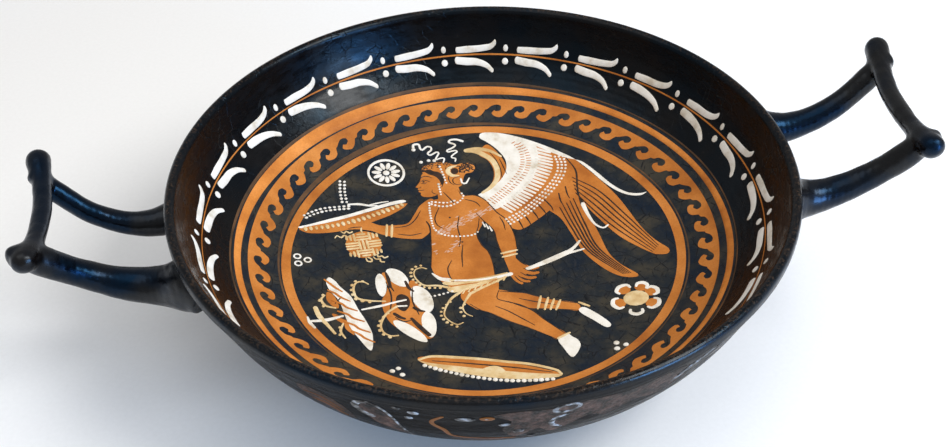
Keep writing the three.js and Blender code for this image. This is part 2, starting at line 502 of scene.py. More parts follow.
def handle_piece(name, handle, finish, seed):
    vertices, faces = [], []
    for part in (arm_rod(handle, handle["near"]), arm_rod(handle, handle["far"]), bar_rod(handle)):
        start = len(vertices)
        vertices += [v * MM for v in part[0]]
        faces += [tuple(start + i for i in face) for face in part[1]]
    rough = new_piece(name + "_rods", vertices, faces)
    remesh = rough.modifiers.new("fuse", "REMESH")
    remesh.mode = "VOXEL"
    remesh.voxel_size = REMESH_SIZE * MM
    smooth = rough.modifiers.new("smooth", "SMOOTH")
    smooth.factor = SMOOTHING
    smooth.iterations = SMOOTH_ROUNDS
    fused = bpy.data.meshes.new_from_object(rough.evaluated_get(bpy.context.evaluated_depsgraph_get()))
    bpy.data.objects.remove(rough)
    drift = Vector((seed * 7.1, 0, 0))
    normals = [vertex.normal.copy() for vertex in fused.vertices]
    for vertex, normal in zip(fused.vertices, normals):
        place = vertex.co / MM
        place += normal * sum(noise.noise(place / size + drift) * height for size, height in LUMPS)
        radius = place.xy.length
        wall = float(np.interp(place.z, mid_wall[:, 0], mid_wall[:, 1]))
        if radius < wall:
            place.x *= wall / radius
            place.y *= wall / radius
        vertex.co = place * MM
    fused.materials.clear()
    fused.materials.append(finish)
    fused.shade_smooth()
    piece = bpy.data.objects.new(name, fused)
    bpy.context.scene.collection.objects.link(piece)
    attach(piece, "root")
    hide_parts("cup")


handle_gloss = black_gloss_finish("handle_gloss", (0.12, 0.45, 1.0), 0.36)
handle_piece("handle_right", RIGHT_HANDLE, handle_gloss, seed=1)
handle_piece("handle_left", LEFT_HANDLE, handle_gloss, seed=2)

# ---------------------------------------------------------------- rings round the picture
# Bands of clay left bare round the floor picture while the wheel turned slowly, so their edges
# wander a little, with hair lines of thinned slip beside them.
INNER_RING = (88.0, 92.0)
OUTER_RING = (109.0, 111.5)
SWELL_AT = math.radians(122)
SWELL_SPREAD = math.radians(42)
SWELL_INWARDS = 1.5
SWELL_OUTWARDS = 1.2
WAVE_BASE = (105.0, 105.9)
WAVE_BASE_SWELL = 1.0
GARLAND_LINE = (123.35, 123.7)
THIN_LINES = ((92.9, 93.5), (112.7, 113.3))
THIN_LINE_SWELL = (1.7, 0.7)
BED_DEPTH = -0.25
DOT_SIDES = 14
STROKE_CAP = ((1.0, 0.12), (0.87, 0.5), (0.5, 0.87))
THIN_LIFT = 0.04
BARE_LIFT = 0.05
BASE_LIFT = 0.055
LINE_LIFT = 0.08
WHITE_LIFT = 0.10
CREAM_LIFT = 0.12


class Brushwork:
    """Paint of one colour on a surface: gathers areas, strokes and dots into one closed mesh."""

    def __init__(self, surface):
        self.surface = surface
        self.vertices = []
        self.faces = []

    def put(self, u, v, lift):
        self.vertices.append(self.surface(u, v, lift) * MM)
        return len(self.vertices) - 1

    def area(self, outline, lift, step=1.0, grid=3.2):
        """A flat patch inside a smooth outline. An outline point given twice is a corner."""
        edge = [p.to_2d() for p in spline(outline, step, closed=True)]
        xs = np.array([p.x for p in edge])
        ys = np.array([p.y for p in edge])
        inner = []
        for gy in np.arange(ys.min(), ys.max(), grid):
            for gx in np.arange(xs.min(), xs.max(), grid):
                if np.hypot(xs - gx, ys - gy).min() > 0.45 * grid:
                    inner.append(Vector((gx, gy)))
        loop = [(i, (i + 1) % len(edge)) for i in range(len(edge))]
        points, _, triangles, *_ = delaunay_2d_cdt(edge + inner, loop, [list(range(len(edge)))], 1,
                                                   1e-5)
        top = [self.put(p.x, p.y, lift) for p in points]
        bed = [self.put(p.x, p.y, BED_DEPTH) for p in points]
        sides = {}
        for triangle in triangles:
            a, b, c = triangle
            if (points[b] - points[a]).cross(points[c] - points[a]) < 0:
                a, b, c = a, c, b
            self.faces.append((top[a], top[b], top[c]))
            self.faces.append((bed[a], bed[c], bed[b]))
            for start, end in ((a, b), (b, c), (c, a)):
                if (end, start) in sides:
                    del sides[(end, start)]
                else:
                    sides[(start, end)] = True
        for start, end in sides:
            self.faces.append((top[start], bed[start], bed[end], top[end]))

    def stroke(self, path, widths, lift, height=0.1, step=0.9):
        """A domed brush line along path, with rounded ends. Widths are spread evenly over it."""
        line = [p.to_2d() for p in spline(path, step)]
        if not isinstance(widths, tuple):
            widths = (widths, widths)
        sections = []
        last = len(line) - 1
        for i, point in enumerate(line):
            along = (line[min(i + 1, last)] - line[max(i - 1, 0)]).normalized()
            width = float(np.interp(i / last, np.linspace(0, 1, len(widths)), widths))
            if i == 0:
                for out, share in STROKE_CAP:
                    sections.append((point - along * out * width / 2, along, width * share,
                                     height * share))
            sections.append((point, along, width, height))
            if i == last:
                for out, share in reversed(STROKE_CAP):
                    sections.append((point + along * out * width / 2, along, width * share,
                                     height * share))
        rows = []
        for point, along, width, rise in sections:
            across = Vector((-along.y, along.x)) * width / 2
            row = []
            for share, up in ((-1, lift), (-0.6, lift + 0.8 * rise), (0, lift + rise),
                              (0.6, lift + 0.8 * rise), (1, lift), (1, BED_DEPTH), (-1, BED_DEPTH)):
                place = point + across * share
                row.append(self.put(place.x, place.y, up))
            rows.append(row)
        for low, high in zip(rows, rows[1:]):
            for i in range(len(low)):
                j = (i + 1) % len(low)
                self.faces.append((low[i], high[i], high[j], low[j]))
        self.faces.append(tuple(rows[0]))
        self.faces.append(tuple(reversed(rows[-1])))

    def dot(self, x, y, radius, lift, height=0.35, stretch=1.0, turn=0.0):
        """A domed drop of paint, longer than it is wide by stretch and turned by turn degrees."""
        turn = math.radians(turn)
        rings = []
        for share, up in ((1.0, BED_DEPTH), (1.0, lift), (0.86, lift + 0.55 * height),
                          (0.5, lift + 0.9 * height)):
            ring = []
            for i in range(DOT_SIDES):
                angle = 2 * math.pi * i / DOT_SIDES
                a, b = radius * share * stretch * math.cos(angle), radius * share * math.sin(angle)
                ring.append(self.put(
                    x + a * math.cos(turn) - b * math.sin(turn),
                    y + a * math.sin(turn) + b * math.cos(turn), up,
                ))
            rings.append(ring)
        for low, high in zip(rings, rings[1:]):
            for i in range(DOT_SIDES):
                j = (i + 1) % DOT_SIDES
                self.faces.append((low[i], low[j], high[j], high[i]))
        top = self.put(x, y, lift + height)
        for i in range(DOT_SIDES):
            self.faces.append((rings[-1][i], rings[-1][(i + 1) % DOT_SIDES], top))
        self.faces.append(tuple(reversed(rings[0])))

    def ring(self, inner, outer, lift, wander=0.0, seed=0, swell=(0, 0), steps=320):
        """A band all the way round the axis whose edges wander, and swell apart at one side."""
        cross = max(1, round((outer - inner) / 1.2))
        rows = []
        for i in range(steps):
            angle = 2 * math.pi * i / steps
            spot = Vector((math.cos(angle), math.sin(angle), seed)) * 2.2
            away = (angle - SWELL_AT + math.pi) % (2 * math.pi) - math.pi
            bulge = math.exp(-(away / SWELL_SPREAD) ** 2)
            low = inner + wander * noise.noise(spot) - swell[0] * bulge
            high = outer + wander * noise.noise(spot + Vector((5, 5, 5))) + swell[1] * bulge
            radii = [blend(low, high, j / cross) for j in range(cross + 1)]
            row = [self.put(r * math.cos(angle), r * math.sin(angle), lift) for r in radii]
            row += [self.put(r * math.cos(angle), r * math.sin(angle), BED_DEPTH) for r in (high, low)]
            rows.append(row)
        for row, after in zip(rows, rows[1:] + rows[:1]):
            for i in range(len(row)):
                j = (i + 1) % len(row)
                self.faces.append((row[i], row[j], after[j], after[i]))

    def piece(self, name, finish, slot, smooth=True):
        piece = new_piece(name, self.vertices, self.faces, smooth=smooth)
        piece.data.materials.append(finish)
        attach(piece, "root")


wall_slopes = np.diff(wall_heights) / np.diff(wall_radii)


def on_floor(x, y, lift):
    """A point of the bowl's inside at a place in plan, lifted off the wall."""
    radius = math.hypot(x, y)
    steep = float(np.interp(radius, wall_radii[1:], wall_slopes))
    return Vector((x, y, floor_height(x, y) + lift * math.hypot(1, steep)))


thin_wash = Finish("thin_wash", IOR=1.45, Specular_IOR_Level=0.3)
wash_patches = thin_wash.grain(12, detail=6)
thin_wash.relief((wash_patches, 0.03))
thin_wash = thin_wash.paint(
    thin_wash.ramp(wash_patches, [(0.35, (0.05, 0.03, 0.016)), (0.7, (0.16, 0.075, 0.03))]),
    thin_wash.ramp(wash_patches, [(0.3, 0.5), (0.7, 0.62)]),
)
bare_rings = Brushwork(on_floor)
bare_rings.ring(*INNER_RING, BARE_LIFT, wander=0.3, seed=0)
bare_rings.ring(*WAVE_BASE, BASE_LIFT, wander=0.15, seed=5, swell=(0, WAVE_BASE_SWELL))
bare_rings.ring(*GARLAND_LINE, BARE_LIFT, wander=0.15, seed=8)
bare_rings.piece("bare_rings", bare_clay, "red_clay")
thin_rings = Brushwork(on_floor)
for number, (inner, outer) in enumerate(THIN_LINES):
    thin_rings.ring(inner, outer, THIN_LIFT, wander=0.35, seed=number + 4,
                    swell=(0.3, THIN_LINE_SWELL[number]))
thin_rings.piece("thin_rings", thin_wash, "dilute_wash")
# The outer band takes a copy of the bare clay made brighter by 1.22: painted light, for the band where
# it catches the light.
painted_light_ring = Brushwork(on_floor)
painted_light_ring.ring(*OUTER_RING, BARE_LIFT, wander=0.3, seed=1, swell=(SWELL_INWARDS, SWELL_OUTWARDS))
painted_light_ring.piece("outer_ring", bare_clay_finish("ring_clay", light=1.22), "red_clay")

# ---------------------------------------------------------------- running wave border
# Fifty-three breaking waves of bare clay between the rings. Each is drawn by hand, so three
# slightly different waves are dealt out round the ring at random.
WAVE_COUNT = 53
WAVE_OUTLINE = [
    (105.7, 0.2), (105.7, 0.2), (103.5, 0.1), (101.6, 0.4), (100, 1.2), (98.5, 2.4), (97.5, 3.6),
    (97.2, 5), (97.5, 6.6), (98.3, 8.1), (99.2, 8.7), (100.2, 8.1), (100.7, 7.4), (100.7, 7.4),
    (100.3, 6.6), (100.2, 5.9), (100.5, 5), (101.1, 4.3), (102, 4), (102.9, 4.4), (103.5, 5.6),
    (103.4, 7.2), (102.6, 9), (101.4, 10.4), (100.7, 12.2), (100.7, 12.2), (105.7, 12.4), (105.7, 12.4),
    (105.7, 6),
]
WAVE_SCALE = 0.01078
WAVE_SHAKE = 0.16


def ring_tree(name, copies):
    """Geometry nodes: deals copies of three drawn motifs round the axis with a little play."""
    tree = bpy.data.node_groups.new(name, "GeometryNodeTree")
    face = tree.interface
    face.new_socket("Geometry", in_out="INPUT", socket_type="NodeSocketGeometry")
    face.new_socket("Second", in_out="INPUT", socket_type="NodeSocketObject")
    face.new_socket("Third", in_out="INPUT", socket_type="NodeSocketObject")
    for label, kind, value in (("Count", "Int", copies), ("Seed", "Int", 1)):
        face.new_socket(label, in_out="INPUT", socket_type="NodeSocket" + kind).default_value = value
    face.new_socket("Turn Play", in_out="INPUT", socket_type="NodeSocketFloat").default_value = 0.0
    face.new_socket("Material", in_out="INPUT", socket_type="NodeSocketMaterial")
    face.new_socket("Geometry", in_out="OUTPUT", socket_type="NodeSocketGeometry")
    given = tree.nodes.new("NodeGroupInput").outputs
    motifs = tree.nodes.new("GeometryNodeJoinGeometry")
    for label in ("Third", "Second"):
        look = tree.nodes.new("GeometryNodeObjectInfo")
        tree.links.new(given[label], look.inputs["Object"])
        alone = tree.nodes.new("GeometryNodeGeometryToInstance")
        tree.links.new(look.outputs["Geometry"], alone.inputs[0])
        tree.links.new(alone.outputs[0], motifs.inputs[0])
    alone = tree.nodes.new("GeometryNodeGeometryToInstance")
    tree.links.new(given["Geometry"], alone.inputs[0])
    tree.links.new(alone.outputs[0], motifs.inputs[0])
    points = tree.nodes.new("GeometryNodePoints")
    tree.links.new(given["Count"], points.inputs["Count"])
    index = tree.nodes.new("GeometryNodeInputIndex")

    def play(kind, low, high, salt):
        dice = tree.nodes.new("FunctionNodeRandomValue")
        dice.data_type = kind
        first = {"FLOAT": 2, "INT": 4}[kind]
        for value, socket in ((low, dice.inputs[first]), (high, dice.inputs[first + 1])):
            if isinstance(value, (int, float)):
                socket.default_value = value
            else:
                tree.links.new(value, socket)
        salted = maths("ADD", given["Seed"], salt)
        tree.links.new(salted, dice.inputs["Seed"])
        return dice.outputs[1 if kind == "FLOAT" else 2]

    def maths(kind, first, second):
        node = tree.nodes.new("ShaderNodeMath")
        node.operation = kind
        for value, socket in ((first, node.inputs[0]), (second, node.inputs[1])):
            if isinstance(value, (int, float)):
                socket.default_value = value
            else:
                tree.links.new(value, socket)
        return node.outputs[0]

    turn = maths("MULTIPLY", index.outputs[0], maths("DIVIDE", 2 * math.pi, given["Count"]))
    loose = play("FLOAT", maths("MULTIPLY", given["Turn Play"], -1.0), given["Turn Play"], 3)
    spin = tree.nodes.new("ShaderNodeCombineXYZ")
    tree.links.new(maths("ADD", turn, loose), spin.inputs["Z"])
    deal = tree.nodes.new("GeometryNodeInstanceOnPoints")
    deal.inputs["Pick Instance"].default_value = True
    tree.links.new(points.outputs[0], deal.inputs["Points"])
    tree.links.new(motifs.outputs[0], deal.inputs["Instance"])
    tree.links.new(play("INT", 0, 2, 9), deal.inputs["Instance Index"])
    tree.links.new(spin.outputs[0], deal.inputs["Rotation"])
    whole = tree.nodes.new("GeometryNodeRealizeInstances")
    tree.links.new(deal.outputs[0], whole.inputs[0])
    coat = tree.nodes.new("GeometryNodeSetMaterial")
    tree.links.new(whole.outputs[0], coat.inputs["Geometry"])
    tree.links.new(given["Material"], coat.inputs["Material"])
    tree.links.new(coat.outputs[0], tree.nodes.new("NodeGroupOutput").inputs[0])
    return tree


def grown(name, start, tree, slot, finish, spare=(), **inputs):
    """Runs a node tree over the start mesh and keeps the result as a plain mesh piece."""
    modifier = start.modifiers.new("grow", "NODES")
    modifier.node_group = tree
    inputs["Material"] = finish
    for item in tree.interface.items_tree:
        if item.in_out == "INPUT" and item.name.replace(" ", "_") in inputs:
            modifier[item.identifier] = inputs[item.name.replace(" ", "_")]
    mesh = bpy.data.meshes.new_from_object(start.evaluated_get(bpy.context.evaluated_depsgraph_get()))
    for unneeded in (start, *spare):
        bpy.data.objects.remove(unneeded)
    mesh.name = name
    mesh.shade_smooth()
    mesh.set_sharp_from_angle(angle=EDGE_ANGLE)
    piece = bpy.data.objects.new(name, mesh)
    bpy.context.scene.collection.objects.link(piece)
    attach(piece, "root")


def wrapped(outline, scale, shake, seed):
    """An outline of (radius, way round) bent round the axis, each point shaken a little."""
    dice = random.Random(seed)
    bent, before = [], None
    for point in outline:
        if point != before:
            radius = point[0] + dice.uniform(-shake, shake)
            angle = point[1] * scale + dice.uniform(-shake, shake) * scale
            place = (radius * math.cos(angle), radius * math.sin(angle))
        before = point
        bent.append(place)
    return bent


waves = []
for variant in range(3):
    wave = Brushwork(on_floor)
    outline = wrapped(WAVE_OUTLINE, WAVE_SCALE, WAVE_SHAKE, seed=variant)
    wave.area(outline, BARE_LIFT + 0.004 * variant, step=0.8, grid=2.4)
    waves.append(new_piece(f"wave_{variant}", wave.vertices, wave.faces))
wave_tree = ring_tree("waves_round_the_ring", WAVE_COUNT)
grown(
    "wave_border", waves[0], wave_tree, "red_clay", bare_clay, spare=waves[1:],
    Second=waves[1], Third=waves[2], Count=WAVE_COUNT, Seed=4, Turn_Play=0.002,
)

# ---------------------------------------------------------------- garland
# Twenty-four pairs of leaves and berries in thick white slip along a thin line below the rim,
# set out with the same nodes as the waves.
GARLAND_COUNT = 24
GARLAND_RADIUS = 123.5
GARLAND_START = math.radians(-0.9)
GARLAND_PLAY = 0.35
LEAF_LIFT = 0.08
LEAF_HEIGHT = 0.22
BERRY_HEIGHT = 0.3
white_slip = Finish("white_slip", IOR=1.45, Specular_IOR_Level=0.25)
slip_patches = white_slip.grain(7, detail=6)
slip_grain = white_slip.grain(0.9, detail=5)
slip_colour = white_slip.ramp(slip_patches, [(0.3, (0.62, 0.55, 0.44)), (0.46, (0.80, 0.76, 0.68)),
                                             (0.62, (0.88, 0.85, 0.79))])
slip_worn = white_slip.ramp(slip_grain, [(0.66, 0.0), (0.78, 0.6)])
slip_colour = white_slip.mixed(slip_worn, slip_colour, (0.34, 0.20, 0.10))
white_slip.relief((slip_patches, 0.10), (slip_grain, 0.09))
white_slip = white_slip.paint(slip_colour, white_slip.ramp(slip_grain, [(0.3, 0.62), (0.7, 0.8)]))


def along_garland(points):
    """Points of (distance clockwise from the root, offset outwards) laid along the garland line."""
    bent = []
    for distance, offset in points:
        angle = GARLAND_START - distance / GARLAND_RADIUS
        radius = GARLAND_RADIUS + offset
        bent.append((radius * math.cos(angle), radius * math.sin(angle)))
    return bent


def garland_pair(variant):
    dice = random.Random(variant + 20)

    def loose():
        return dice.uniform(-GARLAND_PLAY, GARLAND_PLAY)

    pair = Brushwork(on_floor)
    inner = [(0.4, -1.5), (5.5, -1.9 + loose() / 3), (11, -2.3 + loose() / 2), (16, -3.4 + loose() / 2),
             (19.2 + loose(), -5.2)]
    outer = [(0.8, 1.4), (7, 1.5 + loose() / 3), (14, 1.6 + loose() / 3), (18.4, 2.1),
             (20.2 + loose(), 3.0 + loose() / 2)]
    pair.stroke(along_garland(inner), (2.2, 2.4, 2.2, 2.0, 1.6), LEAF_LIFT, height=LEAF_HEIGHT)
    pair.stroke(along_garland(outer), (1.5, 1.7, 1.6, 1.5, 1.3), LEAF_LIFT, height=LEAF_HEIGHT)
    for start, offset, radius in ((26 + loose(), -2, 1.05), (26.2 + loose(), 1.7, 0.82)):
        x, y = along_garland([(start, offset)])[0]
        turn = math.degrees(math.atan2(y, x)) + 90
        pair.dot(x, y, radius, LEAF_LIFT, height=BERRY_HEIGHT, stretch=1.55, turn=turn)
    return new_piece(f"garland_{variant}", pair.vertices, pair.faces)


garlands = [garland_pair(variant) for variant in range(3)]
grown(
    "garland", garlands[0], ring_tree("leaves_round_the_rim", GARLAND_COUNT), "white_slip", white_slip,
    spare=garlands[1:], Second=garlands[1], Third=garlands[2], Count=GARLAND_COUNT, Seed=11,
    Turn_Play=0.006,
)

# ---------------------------------------------------------------- wings
# The spread wing behind the figure and the tip of the far one: feathers left in bare clay,
# their coverts in white slip with dark barbs, and rows of white drops between the two.
cream_wash = Finish("cream_wash", IOR=1.45, Specular_IOR_Level=0.3)
cream_patches = cream_wash.grain(6, detail=6)
cream_grain = cream_wash.grain(0.8, detail=4)
cream_colour = cream_wash.ramp(cream_patches, [(0.35, (0.60, 0.40, 0.18)), (0.5, (0.72, 0.53, 0.27)),
                                               (0.66, (0.80, 0.66, 0.42))])
cream_colour = cream_wash.mixed(cream_wash.ramp(cream_grain, [(0.62, 0.0), (0.75, 0.6)]), cream_colour,
                                (0.42, 0.2, 0.07))
cream_wash.relief((cream_patches, 0.06), (cream_grain, 0.06))
cream_wash = cream_wash.paint(cream_colour, cream_wash.ramp(cream_grain, [(0.3, 0.5), (0.7, 0.68)]))
relief_line = Finish("relief_line", IOR=1.5)
line_grain = relief_line.grain(2.5, detail=5)
relief_line.relief((line_grain, 0.03))
relief_line = relief_line.paint(
    relief_line.ramp(line_grain, [(0.35, (0.010, 0.005, 0.003)), (0.7, (0.05, 0.02, 0.008))]),
    relief_line.ramp(line_grain, [(0.3, 0.25), (0.7, 0.5)]),
)
RIGHT_FEATHERS = [
    (51, 63), (51, 63), (58, 53), (65, 39), (70, 26), (75, 6), (79, -5), (83.6, -13.5), (82, -16.6),
    (77, -15.2), (77, -15.2), (71, -8), (64, 2), (58, 15), (53, 28), (50, 44), (50, 44),
]
LEFT_FEATHERS = [
    (50, 46), (50, 46), (51.5, 28), (54, 15), (55.5, 5), (57, -8), (60.5, -17), (66.5, -26),
    (64, -27.4), (58, -24.5), (52, -17), (46, -5), (43, 8), (40, 20), (35.5, 27), (35.5, 27), (32, 24),
    (32, 24), (28, 21), (28, 21), (24, 18), (24, 18), (20, 16), (17, 16.8), (14.5, 20), (10, 30),
    (12, 36), (24, 46), (36, 56),
]
COVERTS = [
    (9.4, 86.5), (12, 87.2), (20, 85.5), (30, 80.6), (40, 73.6), (50, 64.6), (55, 58.5), (60, 50),
    (65, 40), (70, 32.5), (75, 28), (80, 26.3), (83, 27.5), (83, 27.5), (79.5, 27.8), (74, 30.5),
    (68.5, 37.5), (62.5, 49), (57, 57.6), (50, 62), (44.5, 66.5), (36.8, 73.2), (36.8, 73.2),
    (36.5, 66), (34.6, 58), (30.6, 50), (24.6, 43), (18.4, 37.6), (12.5, 33.4), (12.5, 33.4),
    (10, 32.5), (8, 36), (6, 40), (3, 44), (3, 44), (10, 48), (15.5, 53), (19, 59), (20, 65), (19, 70),
    (16, 76), (12, 81), (9, 84),
]
wing_bare = Brushwork(on_floor)
wing_bare.area(RIGHT_FEATHERS, BARE_LIFT)
wing_bare.area(LEFT_FEATHERS, BARE_LIFT)
wing_bare.area([(36.5, 74), (36.5, 74), (44, 68), (50, 63.5), (56, 56), (51, 42), (51, 42), (40, 34),
                (22, 24), (11, 31), (24, 42), (33, 55)], BARE_LIFT)
wing_bare.area([(12, 79), (17, 72), (19.6, 62), (17, 55), (13, 50), (9, 47.5), (12, 54), (13, 61),
                (11, 68), (7, 73)], BARE_LIFT)
wing_bare.piece("wing_feathers", bare_clay, "red_clay")
wing_white = Brushwork(on_floor)
wing_white.area(COVERTS, WHITE_LIFT)
wing_white.stroke([(52, 28), (53, 20), (54.8, 13), (58, 9.3), (60.6, 10.6)], (2.2, 1.6, 1.1, 0.9),
                  WHITE_LIFT)
COVERT_DROPS = [(48.6, 63.4), (48.8, 57), (46.4, 50), (40.4, 42), (33.4, 34.6), (25, 26.6),
                (15.6, 20.6)]
barb_edge = spline([(36.6, 74), (36.8, 66), (34.8, 58), (30.8, 50), (24.8, 43), (18.6, 37.8),
                    (11.6, 32.6)], 2.3)
drop_line = spline(COVERT_DROPS, 2.3)
for row in range(3):
    for i, place in enumerate(drop_line):
        share = i / len(drop_line)
        inward = Vector((-1, 0.15)).lerp(Vector((-0.35, 0.95)), share) * 2.0 * row
        wing_white.dot(place.x + inward.x, place.y + inward.y, 0.68, CREAM_LIFT, height=0.28)
for i, place in enumerate(barb_edge[1:-1]):
    share = i / len(barb_edge)
    tip = drop_line[min(len(drop_line) - 1, round(share * (len(drop_line) - 1)))].to_2d()
    start = place.to_2d()
    reach = (tip - start) * 0.5
    wing_white.stroke([start - reach * 0.15, start + reach], (1.75, 1.5, 1.1), CREAM_LIFT, height=0.14)
for x, y in ((2.6, 24), (4, 22.4), (5.4, 20.6)):
    wing_white.stroke([(x, y), (x + 0.8, y - 3.4)], (0.5, 0.9), WHITE_LIFT)
wing_white.piece("wing_coverts", white_slip, "white_slip")
wing_cream = Brushwork(on_floor)
wing_cream.stroke([(1, 76.2), (5, 75.4), (9, 72.6), (13.2, 67.5), (14.8, 61), (13.8, 54), (10, 48.5),
                   (5.5, 45.2)],
                  (2.4, 2.9, 2.8, 2.8, 2.7, 2.3, 1.4), CREAM_LIFT)
wing_cream.stroke([(2, 76.6), (7, 76.6), (13, 74.2), (18, 69.6)], (2.0, 2.4, 1.8, 1.0),
                  CREAM_LIFT + 0.02)
wing_cream.piece("far_wing", cream_wash, "dilute_wash")
wing_lines = Brushwork(on_floor)
for share in (0.14, 0.31, 0.48, 0.66, 0.84):
    path = [(blend(50.6, 50, share), blend(50, 34, share)),
            (blend(62, 55, share), blend(38, 20, share)),
            (blend(71, 62, share), blend(18, 6, share)),
            (blend(80.5, 75.5, share), blend(-9, -14, share))]
    wing_lines.stroke(path, (0.5, 0.8, 0.7, 0.35), LINE_LIFT, height=0.08)
for share in (0.16, 0.33, 0.5, 0.67, 0.84):
    path = [(blend(50, 39, share), blend(34, 27, share)), (blend(52, 42, share), blend(14, 13, share)),
            (blend(54.5, 47, share), blend(-4, -5, share)),
            (blend(64.5, 59.5, share), blend(-24.5, -24, share))]
    wing_lines.stroke(path, (0.5, 0.9, 0.8, 0.35), LINE_LIFT, height=0.08)
for x, y, lean in ((19.5, 24, 0.6), (23, 26.5, 0.8), (27, 29.5, 0.9), (31, 32, 1.0), (34.5, 35, 1.1),
                   (42, 38, 0), (46, 42, 0)):
    wing_lines.stroke([(x, y), (x + lean * 2, y - 5), (x + lean * 2 + 0.6, y - 8.5)], (0.7, 0.8, 0.4),
                      LINE_LIFT, height=0.08)
wing_lines.stroke([(50, 62), (53, 52), (51.6, 40), (51, 28)], (0.5, 0.9, 0.9, 0.5), LINE_LIFT,
                  height=0.08)
wing_lines.stroke([(19, 57), (18, 63), (17, 68)], (0.4, 0.6, 0.3), LINE_LIFT, height=0.07)
wing_lines.stroke([(16.5, 54.5), (16.4, 61), (15, 68), (12.5, 74)], (0.4, 0.6, 0.3), LINE_LIFT,
                  height=0.07)
wing_lines.piece("wing_lines", relief_line, "black_gloss")
wing_ticks = Brushwork(on_floor)
TICK_LIFT = 0.14
TICK_LINE = [(27.6, 78.5), (31, 71.5), (31.4, 64), (29.4, 57.5), (26, 52.5), (20.8, 46.6), (14.8, 41),
             (8.6, 35.8)]
for row, long in ((0, 2.0), (1, 1.7)):
    tick_line = spline([(x - row * 2.9, y + row * 1.3) for x, y in TICK_LINE], 1.75)
    for before, place, after in zip(tick_line, tick_line[1:], tick_line[2:]):
        away = (after - before).to_2d().normalized()
        away = Vector((-away.y, away.x)) * long
        wing_ticks.stroke([place.to_2d() - away / 2, place.to_2d() + away / 2], (0.55, 0.4), TICK_LIFT,
                          height=0.07)
wing_ticks.piece("wing_ticks", bare_clay, "red_clay")

# ---------------------------------------------------------------- winged figure
# A simple winged youth moving to the left, left in bare clay with brushed outlines, wearing a
# sash, shoes, bracelets and strings of beads added in white and cream slip.
figure = Brushwork(on_floor)
TORSO = [
    (-4.5, 44.5), (1, 44), (5, 41), (7.5, 36), (3.5, 25), (0, 18), (-1, 15.5), (0, 8), (2.6, 3),
    (3.6, -5), (3.4, -15), (3.6, -24), (1, -31), (-6, -35.3), (-10.2, -31), (-12, -25), (-20.5, -15),
    (-23.6, -9), (-24.6, -3), (-23.7, 5), (-23, 15), (-22.8, 24), (-24.5, 32), (-20.5, 42), (-13, 43.5),
]
LEFT_ARM = [
    (-19, 43.2), (-25.2, 40.5), (-29, 34), (-33, 27.6), (-40, 26.8), (-46, 27.2), (-52, 30.2),
    (-58, 28.7), (-62.5, 26.6), (-61, 25), (-56, 24.9), (-50, 23.4), (-45, 20.5), (-38, 17.8),
    (-30, 16.2), (-26, 17), (-21.5, 24),
]
RIGHT_ARM = [
    (5, 41), (8, 36), (10.4, 30), (13.6, 25), (15.7, 18), (16.5, 10), (16.1, 4), (14.6, -3),
    (16.6, -6.6), (18.6, -9.6), (19, -12.6), (17, -15.8), (13.6, -17.4), (11.8, -16.4), (10.6, -13.5),
    (9.8, -8), (9.1, -3), (8.2, 2), (7.4, 10), (7, 17.5), (3, 25), (0, 31), (0, 40),
]
FRONT_LEG = [
    (3.4, -15), (3.8, -24), (3, -30.6), (6, -31.6), (12, -35), (17, -40), (20, -45), (24, -51),
    (28.3, -57.3), (24.3, -60.2), (20, -56.3), (13, -50.2), (5, -44.2), (-2, -38), (-6, -35.5),
    (-11, -31), (-13.5, -25), (-9, -16),
]
REAR_LEG = [
    (2.5, -23.5), (10, -26), (15, -27.4), (19, -29.8), (25, -33), (36.4, -38.3), (36.4, -43.2),
    (30, -41.2), (22, -39.2), (16, -38), (12.5, -36), (8, -32.2), (1.5, -31),
]
FACE = [
    (-6, 56), (-12, 64), (-20, 64.5), (-22.6, 62), (-23.6, 60), (-24.2, 58), (-24.5, 57), (-26, 54.4),
    (-27, 53), (-27, 53), (-25.5, 52.2), (-25.5, 52.2), (-25.9, 51.2), (-25.2, 50.5), (-25.2, 50.5),
    (-25.7, 49.6), (-24.6, 48.8), (-24.8, 47.3), (-23.4, 45.8), (-20, 45.4), (-16.5, 46.6),
    (-16.5, 46.6), (-16.8, 43), (-18.5, 42), (-4, 42.5), (-5.5, 48),
]
for part in (LEFT_ARM, FRONT_LEG, REAR_LEG):
    figure.area(part, BARE_LIFT)
figure.area(TORSO, BARE_LIFT + 0.004)
figure.area(RIGHT_ARM, BARE_LIFT + 0.008)
for finger in (((17, -9), (20.6, -11.6), (23.4, -11.4)), ((16.4, -12.6), (20.4, -15), (23, -14.8)),
               ((14.6, -14.4), (18.4, -17.6), (21.2, -17.8)),
               ((12.6, -15), (15.6, -19), (18, -20)), ((11.6, -14.6), (12.8, -18.4), (14.6, -20.8))):
    figure.stroke(finger, (2.5, 2.1, 1.5), BARE_LIFT + 0.01, height=0.03)
figure.area(FACE, BARE_LIFT + 0.012, step=0.6, grid=2.4)
HAIR = [
    (-22.8, 63.6), (-22, 66.6), (-19, 68.6), (-15, 69.6), (-10, 69), (-6, 67), (-2, 67.6), (2.4, 66.8),
    (4, 63.5), (2, 60.6), (-1, 60), (-2.6, 57), (-3.8, 52.4), (-7, 50.6), (-9.6, 52), (-12.2, 55.4),
    (-14.2, 58.6), (-17.6, 61), (-21, 61.6),
]
figure.area(HAIR, BARE_LIFT + 0.016, step=0.7, grid=2.4)
figure.piece("figure", bare_clay, "red_clay")

KNOT_LIFT = 0.09
CURL_LIFT = 0.085
CURLS = 60
outlines = Brushwork(on_floor)


def brushed(paths, width=0.62):
    """Dark relief lines that swell in the middle and thin out at both ends."""
    for path in paths:
        outlines.stroke(path, (width * 0.55, width, width, width * 0.5), LINE_LIFT, height=0.09,
                        step=0.7)


